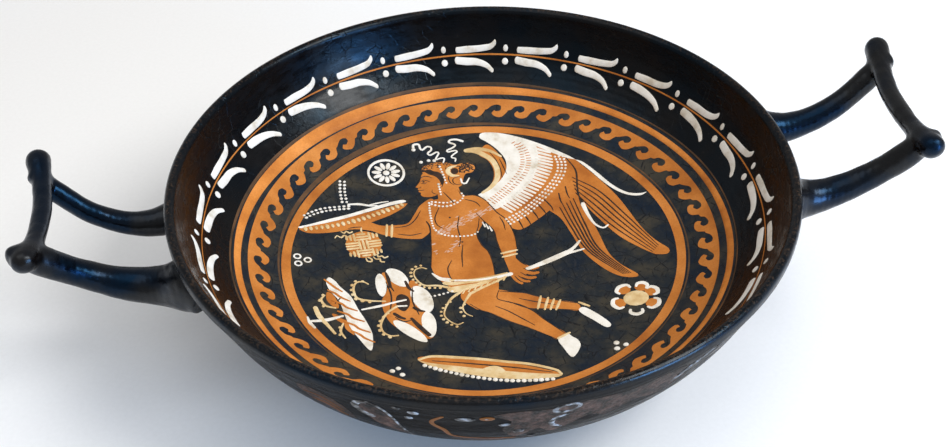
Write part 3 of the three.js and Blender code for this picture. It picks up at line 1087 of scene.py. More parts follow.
brushed([
    TORSO[19:22] + [(-24, 28), (-22.6, 24), (-23, 15), (-23.7, 5), (-24.6, -3)],
    [(-17, 37), (-19.6, 30), (-19, 25), (-16.5, 22)],
    [(0.4, 31), (3, 25.5), (7, 17.6), (7.5, 10), (8.4, 2), (9.2, -3)],
    [(1.4, 27), (0.2, 21), (-1.2, 15.6), (0.2, 8), (2.6, 3), (3.6, -5), (3.4, -14.5)],
    [(-15, -1), (-17.2, -6), (-17, -11), (-15.6, -15.6)],
    [(-8, 30), (-9.5, 22), (-9.2, 14), (-10.4, 8)],
    [(-8.6, 9), (-9.8, 2), (-10.4, -6)],
    [(-13.5, 48), (-10.6, 42.4), (-9, 38.6)],
    [(-6, 48), (-4.6, 44.5), (1, 44), (5.2, 40.8), (7.8, 36), (10.4, 30), (13.6, 25), (15.7, 18),
     (16.4, 10), (16, 4)],
    [(-3.6, 41.6), (1, 39), (3, 35.6)],
    [(3.6, -24), (2.4, -29), (6, -31.6), (12, -35), (17, -40), (20, -45), (24, -51), (28, -57)],
    [(-10, -31), (-6, -35.4), (-2, -38), (5, -44.2), (13, -50.2), (20, -56.3), (24, -60)],
    [(4, -24.4), (10, -26), (15, -27.4), (19, -29.8), (25, -33), (36, -38.2)],
    [(7, -31.8), (12.5, -36), (16, -38), (22, -39.2), (30, -41.2), (36, -43)],
    [(1, -34), (6, -38), (11, -43.4), (16, -49)], [(12, -30.6), (19, -34), (27, -37.4)],
    [(-26, 36), (-29, 30), (-33, 26), (-39, 25)], [(-27, 20), (-32, 19), (-38, 20.4)],
    [(17, -11), (19.6, -13.2), (22.6, -13.2)], [(15.2, -13.6), (18.2, -16.4), (21.6, -16.4)],
    [(13.8, -15.6), (16.4, -18.6), (18.8, -19)],
    [(12.2, -15.6), (13.8, -18.8), (15.4, -20.2)], [(14.6, -3.4), (16.6, -6.8), (18.6, -9.4)],
    [(-55, 26.4), (-58, 26.3), (-61, 25.6)], [(11.2, 26.6), (12.4, 22), (12.6, 17)],
])
brushed([[(-16.5, 46.6), (-19, 48.4), (-18.8, 50.4)], [(-25.2, 50.5), (-23.6, 50.4), (-22.8, 50.7)],
         [(-25.4, 52.3), (-24.4, 52.2), (-24.2, 53)], [(-24, 55.6), (-22.4, 55.1), (-21, 55.8)]], 0.42)
brushed([[(-24, 56.6), (-22.4, 57.7), (-20.4, 56.8), (-19.4, 56.2)],
         [(-24, 59.2), (-21.8, 60.3), (-19.2, 59.6), (-18.2, 58.8)],
         [(-14.4, 53.6), (-13.2, 55), (-13.6, 52.6), (-14.8, 51.6)], FACE[4:10]], 0.5)
outlines.dot(-22.6, 56.4, 0.62, LINE_LIFT, height=0.1)
for x, y in ((-12.5, 29.5), (-8.6, 11.3)):
    outlines.dot(x, y, 0.55, LINE_LIFT, height=0.1)
outlines.area([(-23.2, 63), (-21.6, 63.4), (-19.4, 61.4), (-16.8, 60), (-14.8, 57.2), (-13.9, 53.6),
               (-12.6, 54.8), (-12.4, 59.6), (-14.4, 62.6), (-17, 63.6), (-18.6, 65), (-21, 64.6),
               (-22.6, 65.2)], LINE_LIFT, step=0.7, grid=2.2)
outlines.stroke([(-7.6, 52.6), (-9.4, 54.6), (-10, 58), (-8.8, 60.6)], (0.3, 0.6, 0.3), LINE_LIFT)
outlines.stroke([(-3.6, 53), (-6.4, 52.8), (-8, 54.6), (-7.6, 57.2), (-4.4, 58.4)], (0.3, 0.6, 0.3),
                LINE_LIFT)
outlines.dot(-6.4, 62.4, 1.9, KNOT_LIFT, height=0.05, stretch=1.2, turn=80)
curls = random.Random(5)
for i in range(CURLS):
    share = (i % 20) / 19
    if i % 3 < 2:
        x = blend(-22.2, -7.5, share)
        y = 65.6 + 2.6 * math.sin(math.pi * share) + curls.uniform(-2.2, 2.2)
    else:
        angle, reach = curls.uniform(0, 2 * math.pi), math.sqrt(curls.uniform(0.02, 1))
        x, y = -0.4 + 4.2 * reach * math.cos(angle), 63.8 + 2.9 * reach * math.sin(angle)
    bend = curls.uniform(0, 6.3)
    curl, thick = (0.95, 0.45) if i % 3 < 2 else (1.25, 0.8)
    hook = [
        (x + curl * math.cos(bend + k), y + 0.9 * curl * math.sin(bend + k)) for k in (0, 1.1, 2.2, 3.3)
    ]
    outlines.stroke(hook, (thick * 0.5, thick, thick * 0.5), CURL_LIFT, height=0.08, step=0.5)
outlines.piece("outlines", relief_line, "black_gloss")

dress = Brushwork(on_floor)
for shoe in (
    [(24.2, -60), (28.6, -57.2), (30.2, -59.4), (32.2, -62), (32.6, -66), (29.7, -71.2), (27.4, -72.2),
     (25.4, -66)],
    [(36.6, -42.4), (39.2, -41.8), (44.2, -48), (47.7, -54.5), (47.2, -56.8), (45, -56.3), (41, -50.6),
     (37, -45.2)],
):
    dress.area(shoe, WHITE_LIFT, step=0.8, grid=2.6)
dress.stroke([(-17.6, -14), (-21.5, -12.4), (-24.6, -8.6)], (2.6, 2.0, 0.8), WHITE_LIFT)
dress.stroke([(18.8, -11.6), (24, -9.8), (31, -7), (38.6, -3.8)], (2.0, 2.6, 3.0, 2.8), CREAM_LIFT)
dress.stroke([(38.2, -4), (42, -1.2), (45.6, 2.8)], (2.2, 1.5, 1.2), CREAM_LIFT)
dress.stroke([(38.2, -4.2), (42, -3.8), (46.4, -3)], (2.0, 1.3, 0.9), CREAM_LIFT)
dress.stroke([(10.6, -14), (3, -15.2), (-6, -15.6), (-15, -14.6)], (2.2, 1.7, 1.0, 1.3),
             CREAM_LIFT + 0.05, height=0.14)
dress.stroke([(-4, 56.6), (-3.6, 53.6), (-1.8, 53.2), (0.2, 56.6)], (0.9, 1.1, 0.7), WHITE_LIFT)
for path in (
    [(-25.5, 79.5), (-25.2, 82.6), (-22.6, 82.8), (-22, 80), (-21, 79), (-18.5, 81), (-16.6, 80.5),
     (-16.6, 78.5), (-18.5, 76.5), (-17.4, 75), (-14.2, 76.8), (-13, 76), (-14.4, 73.2), (-15, 71.6),
     (-12.2, 72.4), (-10.6, 72), (-11.4, 69)],
    [(0, 83), (-3, 84.5), (-6, 84.5), (-7, 83), (-4.5, 81.5), (-4, 80.4), (-6, 78.8), (-8.5, 77.6),
     (-8.2, 76.4), (-4.6, 77), (-3.6, 76), (-5.5, 74.5), (-6.8, 73), (-6.4, 72), (-4.9, 71.3),
     (-5.3, 69.4)],
):
    dress.stroke(path, (1.3, 1.0, 0.9, 0.8), WHITE_LIFT, step=0.7)
dress.dot(-25.5, 79.4, 1.1, WHITE_LIFT)
for x, y in ((-22.5, 70.4), (-18.6, 71.2), (-15.8, 70.9)):
    dress.dot(x, y, 0.95, WHITE_LIFT)
dress.piece("shoes_and_ribbons", white_slip, "white_slip")

sash = Brushwork(on_floor)
sash.area([(11, -13.8), (0, -15.6), (-12, -15.8), (-19.6, -14.8), (-20.6, -16.2), (-17, -17.6),
           (-8, -17.2), (0, -16.8), (8, -15.6)], CREAM_LIFT)
sash.area([(2, -17), (-6, -17.8), (-16, -18.6), (-19, -20), (-17, -22.4), (-12, -22), (-5, -20)],
          CREAM_LIFT)
for i in range(9):
    x, y = blend(8, -14, i / 8), blend(-15.6, -22.6, i / 8)
    sash.stroke([(x, y), (x - 1.2, y - 1.9)], (0.5, 0.8), CREAM_LIFT + 0.04)
sash.stroke([(9, -13.2), (0, -14.6), (-9, -15.2), (-17, -14.2)], (1.2, 1.1, 1.2), CREAM_LIFT + 0.04,
            height=0.14)
sash.stroke([(8, -15.4), (2, -18.6), (-4, -21.4), (-9, -24.2)], (1.2, 1.2, 1.5), CREAM_LIFT + 0.04,
            height=0.14)
sash.stroke([(4, -15.6), (-4, -17.8), (-11, -20.6), (-14.4, -23.4)], (0.8, 1.0, 1.4), CREAM_LIFT + 0.04,
            height=0.14)
for path in (
    [(-18, -19), (-23, -17), (-29, -16), (-32, -12), (-33, -8), (-32, -5), (-29.2, -4), (-27, -5)],
    [(-14, -23), (-18, -26.5), (-21, -32), (-22, -37), (-20, -41), (-17, -43.5), (-14.5, -42.5)],
    [(-9, -24), (-12, -29), (-13.5, -33), (-12.4, -37), (-10, -39)],
):
    sash.stroke(path, (1.5, 0.9, 0.7, 0.5), CREAM_LIFT)
for low, high in (((-43.6, 19.6), (-42.8, 27.2)), ((-41.2, 18.8), (-40.4, 27)),
                  ((8.4, 0.6), (15.8, 1.9)), ((8.7, -1.9), (15.4, -0.7)),
                  ((24.2, -59.4), (29.6, -56.8)), ((21.6, -30.8), (19, -38.6)),
                  ((24.6, -32.4), (21.9, -39.6)),
                  ((27, -33.8), (24.4, -40)), ((29.6, -35), (26.8, -40.6)),
                  ((37.4, -38), (41.2, -41.4))):
    sash.stroke([low, high], (1.0, 1.3, 1.0), CREAM_LIFT)
sash.stroke([(-5.2, 66.2), (-8.6, 65), (-9.8, 62.4), (-8.2, 59.6), (-4.8, 59)],
            (0.8, 2.0, 2.4, 2.0, 0.8), CREAM_LIFT)
sash.piece("sash_and_bands", cream_wash, "dilute_wash")

BEAD_STRINGS = [
    [(-13.5, 66.4), (-12.4, 60.6), (-11.5, 54.6)], [(-15.4, 54), (-15, 46.6)],
    [(-20, 41.7), (-13, 40.2), (-9, 41.2)],
    [(-20.3, 40), (-16, 38), (-12, 37.8), (-9, 39), (-6, 41), (-4.2, 43.6), (-4.8, 46)],
    [(-21.4, 41), (-21.6, 32), (-21, 23.4), (-19.6, 20.4), (-17, 17.7), (-13, 16), (-8, 15.2),
     (-3, 15.5), (-0.6, 17.2)],
    [(-17, -21.6), (-22, -23), (-27, -24)],
]
TENDRIL_BEADS = [
    [(-22, -18.6), (-29, -17.4), (-33.2, -12.6), (-34.4, -8), (-33, -3.8), (-29.4, -2.6)],
    [(-18.6, -28.4), (-22.4, -32.4), (-23.4, -37.2), (-21, -42), (-17.4, -44.8)],
    [(-12.6, -30.8), (-14.9, -34), (-13.6, -38.4)],
]


def bead_tree(name):
    """Geometry nodes: strings small flattened beads at even steps along drawn lines."""
    tree = bpy.data.node_groups.new(name, "GeometryNodeTree")
    face = tree.interface
    face.new_socket("Geometry", in_out="INPUT", socket_type="NodeSocketGeometry")
    for label, value in (("Spacing", 0.002), ("Width", 0.001), ("Length", 0.001), ("Height", 0.0005)):
        face.new_socket(label, in_out="INPUT", socket_type="NodeSocketFloat").default_value = value
    face.new_socket("Seed", in_out="INPUT", socket_type="NodeSocketInt").default_value = 1
    face.new_socket("Material", in_out="INPUT", socket_type="NodeSocketMaterial")
    face.new_socket("Geometry", in_out="OUTPUT", socket_type="NodeSocketGeometry")
    given = tree.nodes.new("NodeGroupInput").outputs
    line = tree.nodes.new("GeometryNodeMeshToCurve")
    tree.links.new(given["Geometry"], line.inputs[0])
    steps = tree.nodes.new("GeometryNodeResampleCurve")
    steps.mode = "LENGTH"
    tree.links.new(line.outputs[0], steps.inputs["Curve"])
    tree.links.new(given["Spacing"], steps.inputs["Length"])
    points = tree.nodes.new("GeometryNodeCurveToPoints")
    points.mode = "EVALUATED"
    tree.links.new(steps.outputs[0], points.inputs[0])
    bead = tree.nodes.new("GeometryNodeMeshUVSphere")
    bead.inputs["Segments"].default_value = 12
    bead.inputs["Rings"].default_value = 8
    bead.inputs["Radius"].default_value = 0.5
    size = tree.nodes.new("ShaderNodeCombineXYZ")
    for axis, label in (("X", "Height"), ("Y", "Width"), ("Z", "Length")):
        tree.links.new(given[label], size.inputs[axis])
    dice = tree.nodes.new("FunctionNodeRandomValue")
    dice.data_type = "FLOAT"
    dice.inputs[2].default_value = 0.85
    dice.inputs[3].default_value = 1.15
    tree.links.new(given["Seed"], dice.inputs["Seed"])
    scaled = tree.nodes.new("ShaderNodeVectorMath")
    scaled.operation = "SCALE"
    tree.links.new(size.outputs[0], scaled.inputs[0])
    tree.links.new(dice.outputs[1], scaled.inputs["Scale"])
    lay = tree.nodes.new("FunctionNodeAlignRotationToVector")
    lay.axis = "X"
    lay.pivot_axis = "Z"
    lay.inputs["Vector"].default_value = (0, 0, 1)
    tree.links.new(points.outputs["Rotation"], lay.inputs["Rotation"])
    deal = tree.nodes.new("GeometryNodeInstanceOnPoints")
    tree.links.new(points.outputs["Points"], deal.inputs["Points"])
    tree.links.new(bead.outputs["Mesh"], deal.inputs["Instance"])
    tree.links.new(lay.outputs[0], deal.inputs["Rotation"])
    tree.links.new(scaled.outputs[0], deal.inputs["Scale"])
    whole = tree.nodes.new("GeometryNodeRealizeInstances")
    tree.links.new(deal.outputs[0], whole.inputs[0])
    coat = tree.nodes.new("GeometryNodeSetMaterial")
    tree.links.new(whole.outputs[0], coat.inputs["Geometry"])
    tree.links.new(given["Material"], coat.inputs["Material"])
    tree.links.new(coat.outputs[0], tree.nodes.new("NodeGroupOutput").inputs[0])
    return tree


def strings(paths, lift):
    """A bare line mesh along each path, for beads to be strung on."""
    vertices, edges = [], []
    for path in paths:
        line = spline(path, 0.8)
        start = len(vertices)
        vertices += [on_floor(p.x, p.y, lift) * MM for p in line]
        edges += [(start + i, start + i + 1) for i in range(len(line) - 1)]
    mesh = bpy.data.meshes.new("strings")
    mesh.from_pydata(vertices, edges, [])
    start = bpy.data.objects.new("strings", mesh)
    bpy.context.scene.collection.objects.link(start)
    return start


beads = bead_tree("beads_on_a_string")


def beaded(name, paths, finish, slot, size, seed, lift=0.1):
    """Beads of size (spacing, width, length, height) in millimetres strung along each path."""
    spacing, width, length, height = (side * MM for side in size)
    grown(name, strings(paths, lift), beads, slot, finish,
          Spacing=spacing, Width=width, Length=length, Height=height, Seed=seed)


beaded("bead_strings", BEAD_STRINGS, white_slip, "white_slip", (1.8, 1.2, 1.3, 0.6), seed=3)
beaded("tendril_beads", TENDRIL_BEADS, cream_wash, "dilute_wash", (2.3, 1.5, 1.4, 0.5), seed=4)

SCUFF_LIFT = 0.075
abraded_wash = bare_clay_finish("abraded_wash")
abraded_colour = abraded_wash.node_tree.nodes["Principled BSDF"].inputs["Base Color"]
abraded_colour.default_value = (0.62, 0.40, 0.30, 1)
abraded_wash.node_tree.links.remove(abraded_colour.links[0])
scuffs = Brushwork(on_floor)
for start, end, spread, count in (((-20, 18.6), (9, 34.6), 2.0, 150), ((-17.6, 4), (-10, 12), 1.6, 22),
                                  ((-23, 12), (-22, 3), 0.5, 9)):
    for _ in range(count):
        share = curls.random()
        x = blend(start[0], end[0], share) + curls.gauss(0, 0.4)
        y = blend(start[1], end[1], share) + curls.gauss(0, spread) * (1 - 0.4 * share)
        long = curls.uniform(0.5, 1.9)
        end_y = y + long * 0.45 + curls.uniform(-0.2, 0.2)
        scuffs.stroke([(x, y), (x + long, end_y)], (0.25, 0.62, 0.3), SCUFF_LIFT, height=0.03, step=0.7)
scuffs.piece("scuffs", abraded_wash, "dilute_wash")

# ---------------------------------------------------------------- dish, disc and ribbons
# What the figure carries: a shallow dish in cream over bare clay, edged with beads, a netted
# ball on a string, a flower disc and beaded ribbons, all added in slip.
DISH_EDGE = [(-84.3, 26), (-80, 27.8), (-70, 32), (-60, 35.6), (-50, 39.6), (-40, 43.2), (-34, 44.4),
             (-32.4, 43.4), (-34, 42.4), (-40, 41), (-50, 37.4), (-60, 33.5), (-70, 29.9), (-80, 26.6),
             (-83, 25.2)]
DISH_UNDER = [(-83.5, 25.8), (-70, 29.8), (-55, 35.4), (-34, 42), (-33, 40), (-40, 34.6), (-50, 29.6),
              (-60, 25.2), (-70, 22.8), (-80, 22.4)]
DISH_BEADS = [(-81, 24.9), (-70, 27), (-60, 29.9), (-50, 33.8), (-42, 37.6), (-34.6, 40.9)]
BALL_CENTRE = (-54.5, 14)
DISC_CENTRE = (-40.5, 64)
DISC_PETALS = 11
DISC_RADIUS = 8.8

dish_clay = Brushwork(on_floor)
dish_clay.area(DISH_UNDER, BARE_LIFT)
dish_clay.area([(-54.5, 23.4), (-48.8, 21), (-46.2, 14.6), (-48.6, 8), (-54.6, 5), (-60.4, 8),
                (-62.8, 14.4), (-60.4, 20.6)], BARE_LIFT)
dish_clay.piece("dish_and_ball", bare_clay, "red_clay")

dish_cream = Brushwork(on_floor)
for row in (-1, 0, 1):
    for column in (-1, 0, 1):
        lean = math.radians(8 if (row + column) % 2 else 98)
        along = Vector((math.cos(lean), math.sin(lean)))
        across = Vector((-math.sin(lean), math.cos(lean)))
        cell = Vector((column * 5.3 - row * 0.7, row * 5.6 + column * 0.7))
        for strand in (-1.8, 0, 1.8):
            middle = cell + across * strand
            shrink = min(1.0, max(0.35, (9.6 - middle.length) / 3.4))
            ends = [Vector(BALL_CENTRE) + middle + along * 2.6 * shrink * end for end in (-1, 1)]
            dish_cream.stroke(ends, (1.05, 1.25, 1.05), CREAM_LIFT, height=0.16)
for path in (
    [(-67.6, 19), (-66.6, 20.6), (-64.6, 19.2), (-63.4, 20.8), (-61.4, 19.6), (-60.2, 20.8)],
    [(-64.6, 23.4), (-63.2, 22.2), (-62.2, 23.6), (-60.8, 22.4), (-59.4, 23.2)],
    [(-54, 5), (-53.4, 2.6), (-51.4, 2.4), (-51.6, 4.2), (-53, 5.2)],
    [(-50.4, 6.6), (-48.6, 6.8), (-48.4, 5.2), (-46.6, 5.8), (-45.6, 4.4), (-44, 5.2)],
    [(-50.6, 5.4), (-49.4, 3.8), (-47.6, 3.8), (-47.4, 2), (-45.8, 1.6)],
    [(-54.6, 22), (-55.2, 24), (-55, 25.6)],
):
    dish_cream.stroke(path, (0.5, 0.9, 0.7), CREAM_LIFT)
dish_cream.piece("dish_edge_and_net", cream_wash, "dilute_wash")

ribbons = Brushwork(on_floor)
ribbons.area(DISH_EDGE, CREAM_LIFT)
ribbons.stroke([(-60.4, 42.4), (-55, 42.4), (-50, 41.2), (-46.6, 41.2)], (0.9, 1.5, 1.2, 0.7),
               WHITE_LIFT)
ribbons.stroke([(-50, 41.8), (-45, 43.2), (-41, 43.8)], (0.7, 0.9, 0.5), WHITE_LIFT)
ribbons.dot(*DISC_CENTRE, 1.7, WHITE_LIFT, height=0.4)
for i in range(DISC_PETALS):
    angle = 2 * math.pi * (i + 0.3) / DISC_PETALS
    ribbons.dot(DISC_CENTRE[0] + 4.8 * math.cos(angle), DISC_CENTRE[1] + 4.8 * math.sin(angle), 1.12,
                WHITE_LIFT,
                height=0.25, stretch=2.1, turn=math.degrees(angle))
disc_rim = [
    (DISC_CENTRE[0] + DISC_RADIUS * math.cos(a), DISC_CENTRE[1] + DISC_RADIUS * math.sin(a))
    for a in np.linspace(0.2, 6.45, 20)
]
ribbons.stroke(disc_rim, (1.2, 1.5, 1.1, 1.5, 1.2), WHITE_LIFT)
ribbons.piece("disc_and_straps", white_slip, "white_slip")
beaded("ribbon_beads", [
    [(-63.6, 58.2), (-63.8, 51), (-63.2, 44)], [(-61.4, 58), (-61.6, 51), (-61, 44)],
    [(-60.2, 41.2), (-67, 40.4), (-73, 39.2), (-78, 36.6), (-81.4, 34)],
    [(-60.4, 39.4), (-67, 38.6), (-72.6, 37.2), (-77.4, 34.8), (-80.4, 32.6)],
], white_slip, "white_slip", (2.1, 1.5, 1.6, 0.6), seed=5)
beaded("dish_beads", [DISH_BEADS], cream_wash, "dilute_wash", (2.6, 3.2, 1.8, 0.8), seed=7, lift=0.16)

# ---------------------------------------------------------------- blossom, bud and lying dish
# Plants and a dropped dish beneath the figure: petals, stems and tendrils in white slip with
# the insides left in bare clay and brushed over with dark lines.
TWIST_LIFT = 0.2
GROOVE_LIFT = 0.13
ROSETTE_CENTRE = (62, -41.5)
plants_bare = Brushwork(on_floor)
plants_bare.area([(-47.4, -6), (-45.6, -16), (-48.6, -25), (-47.6, -34), (-44.6, -41), (-36, -50),
                  (-28, -50), (-29, -38), (-28, -28), (-30, -18), (-34, -12), (-38, -15),
                  (-42, -8)], BARE_LIFT)
for leaf in (
    [(-72.4, -18), (-70.2, -19), (-68, -24), (-67.6, -28.6), (-70, -27.4), (-72.6, -23)],
    [(-70.6, -32.6), (-68.6, -33), (-65, -36.4), (-61.6, -40.6), (-64, -40.2), (-68.4, -36.8)],
    [(-65.4, -38.8), (-63.6, -39.6), (-61.4, -46.4), (-62.6, -45.6), (-65, -42.4)],
    [(-34.6, -62.6), (-20, -64.8), (0, -70.6), (14, -77), (21, -82.6), (8, -83), (-10, -78.4),
     (-24, -72), (-34.4, -66.4)],
):
    plants_bare.area(leaf, BARE_LIFT, step=0.8, grid=2.6)
for angle in (20, 60, 120, 190, 320):
    angle = math.radians(angle)
    centre = Vector(ROSETTE_CENTRE) + Vector((math.cos(angle), math.sin(angle))) * 7.6
    plants_bare.dot(centre.x, centre.y, 2.6, BARE_LIFT, height=0.08, stretch=1.15,
                    turn=math.degrees(angle) + 90)
for share in (0.04, 0.19, 0.34, 0.5, 0.66, 0.8):
    axis = Vector((blend(-71, -55.6, share), blend(-9, -54, share)))
    reach = 4.3 * math.sin(math.pi * (0.16 + 0.7 * share))
    twist = [
        axis + Vector((-0.95, -0.3)) * reach + Vector((-0.6, 2)), axis + Vector((-0.4, -1.6)),
        axis + Vector((1.6, -4)), axis + Vector((0.95, 0.3)) * reach * 0.9 + Vector((2.6, -7.6)),
    ]
    plants_bare.stroke(twist, (0.8, 1.2, 1.1, 0.7), TWIST_LIFT, height=0.09)
plants_bare.piece("plants_in_clay", bare_clay, "red_clay")

plant_lines = Brushwork(on_floor)
plant_lines.area([(-39.6, -20.8), (-36.8, -23), (-36.4, -28), (-39, -32.2), (-41.8, -30), (-42.4, -25),
                  (-41.6, -21.8)], LINE_LIFT)
for path in ([(-46, -12), (-44.2, -22), (-45.6, -33)], [(-34.4, -17), (-35, -26), (-33, -35)],
             [(-43.4, -36), (-40, -39), (-36.4, -38.4)],
             [(-44.6, -14), (-42.8, -18.6)], [(-30, -65.6), (-14, -69.4), (4, -74.8), (18, -80.4)],
             [(-66, -21), (-69, -25.6)],
             [(-64.4, -36.6), (-68.6, -33.8)]):
    plant_lines.stroke(path, (0.4, 0.8, 0.8, 0.4), LINE_LIFT, height=0.07)
for path, widths in (([(-45.6, -6), (-44.8, -10), (-44.2, -15.6)], (1.0, 1.8, 1.4)),
                     ([(-37.2, -12.6), (-36, -17), (-34.2, -19.4)], (1.2, 1.6, 1.0)),
                     ([(-34.6, -30.4), (-32.6, -32.4), (-30.4, -33.2)], (1.8, 1.6, 0.8)),
                     ([(-43.6, -33.6), (-41.4, -36), (-39.4, -37.2)], (1.6, 1.8, 1.2)),
                     ([(-36.4, -37.4), (-33.6, -42.6), (-29.8, -48.8)], (1.4, 2.2, 2.0))):
    plant_lines.stroke(path, widths, GROOVE_LIFT, height=0.04)
plant_lines.piece("plant_lines", relief_line, "black_gloss")

plants = Brushwork(on_floor)
for x, y, wide, long, turn in ((-48.3, -14, 4.8, 15.5, 92), (-40.6, -9.6, 7.6, 14.6, 122),
                               (-30.7, -25, 8.6, 18.5, 106), (-29.2, -42, 6.2, 17, 92),
                               (-37.6, -45.6, 5.6, 20, 131)):
    turn = math.radians(turn)
    along, across = Vector((math.cos(turn), math.sin(turn))), Vector((-math.sin(turn), math.cos(turn)))
    shape = ((-0.5, 0.02), (-0.36, 0.33), (-0.08, 0.48), (0.22, 0.46), (0.42, 0.28), (0.5, 0),
             (0.4, -0.3), (0.15, -0.5), (-0.15, -0.47), (-0.38, -0.3))
    plants.area([Vector((x, y)) + along * long * a + across * wide * b for a, b in shape], WHITE_LIFT,
                step=0.8, grid=2.4)
plants.area([(-71.2, -8), (-68.6, -10.4), (-66.4, -14.4), (-62, -21), (-59, -30), (-56, -38),
             (-53.8, -47), (-55, -57), (-60, -48.4), (-63.2, -41), (-65.2, -33), (-67.2, -24),
             (-71, -17), (-72.6, -11)], WHITE_LIFT, step=0.9,
             grid=2.6)
for path, widths in (
    ([(-57.5, -30), (-52, -28.6), (-48, -27.6), (-43, -26), (-38, -24.8)], (0.9, 1.5, 1.2, 1.0)),
    ([(-42.4, -28.7), (-38, -28.8)], 1.0),
    ([(-81, -35), (-80, -38.6), (-78, -42)], (0.8, 1.6, 1.2)),
    ([(-79.2, -37.6), (-73, -36.6), (-66, -34)], (1.4, 2.0, 1.2)),
):
    plants.stroke(path, widths, WHITE_LIFT, height=0.14)
for x, y, radius in ((-47, -71, 1.2), (-44.4, -69.4, 1.1), (-43, -73.6, 1.2), (47.4, -68, 1.3),
                     (50.9, -70.3, 1.2), (46.8, -71.8, 1.3)):
    plants.dot(x, y, radius, WHITE_LIFT)
for x, y in ((-85, 6), (-80.4, 3.8), (-84.6, 1.2)):
    loop = [(x + 1.5 * math.cos(a), y + 1.5 * math.sin(a)) for a in np.linspace(0, 6.2, 10)]
    plants.stroke(loop, 0.8, WHITE_LIFT, step=0.6)
for angle, spread in ((20, 0.42), (60, 0.36), (120, 0.5), (190, 0.52), (258, 0.4), (320, 0.5)):
    angle = math.radians(angle)
    spread *= 0.8
    arc = [Vector(ROSETTE_CENTRE) + Vector((math.cos(angle + a), math.sin(angle + a))) * r
           for a, r in ((-spread, 8.0), (-spread * 0.8, 9.8), (0, 10.7), (spread * 0.8, 9.8),
                        (spread, 8.0))]
    plants.stroke(arc, (1.2, 1.8, 2.0, 1.8, 1.2), WHITE_LIFT)
plants.piece("plants_in_white", white_slip, "white_slip")
heart = Brushwork(on_floor)
heart.dot(*ROSETTE_CENTRE, 5.0, CREAM_LIFT, height=0.4, stretch=1.12)
for path, widths in (
    ([(-54, -13), (-56, -11.4), (-59, -11.6), (-60.6, -15), (-60.4, -19), (-59, -22.5), (-54, -24.2),
      (-47, -25)], (0.7, 1.1, 1.2, 0.7)),
    ([(-42, -28.6), (-46, -32), (-48.6, -36), (-50, -41), (-49, -45.6), (-46, -48), (-43, -48)],
     (1.1, 1.2, 1.0, 0.7)),
    ([(-73.5, -20), (-75, -23), (-73.2, -27), (-69, -28.6)], (0.8, 1.3, 0.9)),
    ([(-77.6, -28.5), (-76, -34), (-72.6, -40), (-69.6, -45.6)], (2.0, 2.4, 1.6, 1.2)),
    ([(-66, -39), (-67.2, -44), (-65.4, -48.6)], (0.8, 1.2, 0.8)),
):
    heart.stroke(path, widths, CREAM_LIFT, height=0.16)
heart.stroke([(-35.4, -64.4), (-30, -62.8), (-20, -64.6), (-10, -67), (0, -70.2), (10, -73.6),
              (19.4, -79), (21.4, -82.4)],
             (1.2, 1.7, 1.6, 1.5, 1.5, 1.2), CREAM_LIFT)
heart.area([(-35.6, -64.8), (-31, -67), (-16, -71.4), (0, -76.4), (12, -80), (20.6, -82.4), (20, -84),
            (10, -83.4), (0, -81.4), (-10, -78.4), (-22, -73.4),
            (-31, -69)], CREAM_LIFT, step=0.9, grid=2.4)
heart.area([(-12.4, -75.6), (-9, -73), (-5, -72.2), (-2, -74), (-1, -77), (-6, -77.4)],
           CREAM_LIFT + 0.08, step=0.8, grid=2.2)
heart.piece("dropped_dish_and_heart", cream_wash, "dilute_wash")
beaded("plant_beads", [
    [(-56.4, -11), (-60, -11), (-61.6, -15), (-61.4, -19.4), (-59.6, -23.2), (-54, -25.2)],
    [(-46.4, -33), (-49.4, -36.4), (-51, -41), (-50, -46), (-46.6, -48.8)],
    [(-74.3, -19.8), (-75.8, -23.2), (-74.2, -27.4)], [(-67.6, -41.6), (-67.6, -46.4)],
], cream_wash, "dilute_wash", (2.9, 1.3, 1.7, 0.45), seed=8)
beaded("lying_dish_beads",
       [[(-33.4, -68.4), (-25, -73), (-15, -77.6), (-5, -81.2), (5, -83.6), (17.4, -85)]],
       white_slip, "white_slip", (2.3, 1.9, 2.0, 0.7), seed=9)

# ---------------------------------------------------------------- outside of the bowl
# Scrolls and dots in white slip over patches of bare and rubbed clay below the rim on the near
# side. The hidden sides are plainer: a palmette under each handle and one scroll at the back.
OUTER_RADIUS = 125.0
PATCH_LIFT = 0.05
SCROLL_LIFT = 0.06
NEAR_LIFT = 0.08
TOP_LIFT = 0.1
PALMETTE_LEAVES = 9
PALMETTE_HEIGHT = -45.5
outer_wall = np.array(sorted((height, radius) for radius, height in ((p.x, p.y) for p in outside)))


def on_outside(u, v, lift):
    """A point of the outer wall: u millimetres to the right of the front, v up from the rim."""
    angle = -math.pi / 2 + u / OUTER_RADIUS
    height = RIM_HEIGHT + v
    radius = float(np.interp(height, outer_wall[:, 0], outer_wall[:, 1])) + lift
    return Vector((radius * math.cos(angle), radius * math.sin(angle), height))


rubbed = Finish("rubbed_clay", IOR=1.45, Specular_IOR_Level=0.1)
rubbed_patches = rubbed.grain(6, detail=7, roughness=0.65)
rubbed_grain = rubbed.grain(1.0, detail=4)
rubbed_colour = rubbed.ramp(rubbed_patches,
                            [(0.42, (0.003, 0.003, 0.003)), (0.53, (0.045, 0.024, 0.018)),
                             (0.68, (0.13, 0.075, 0.06))])
rubbed.relief((rubbed_patches, 0.12), (rubbed_grain, 0.05))
rubbed = rubbed.paint(rubbed_colour, rubbed.ramp(rubbed_grain, [(0.3, 0.35), (0.7, 0.6)]))
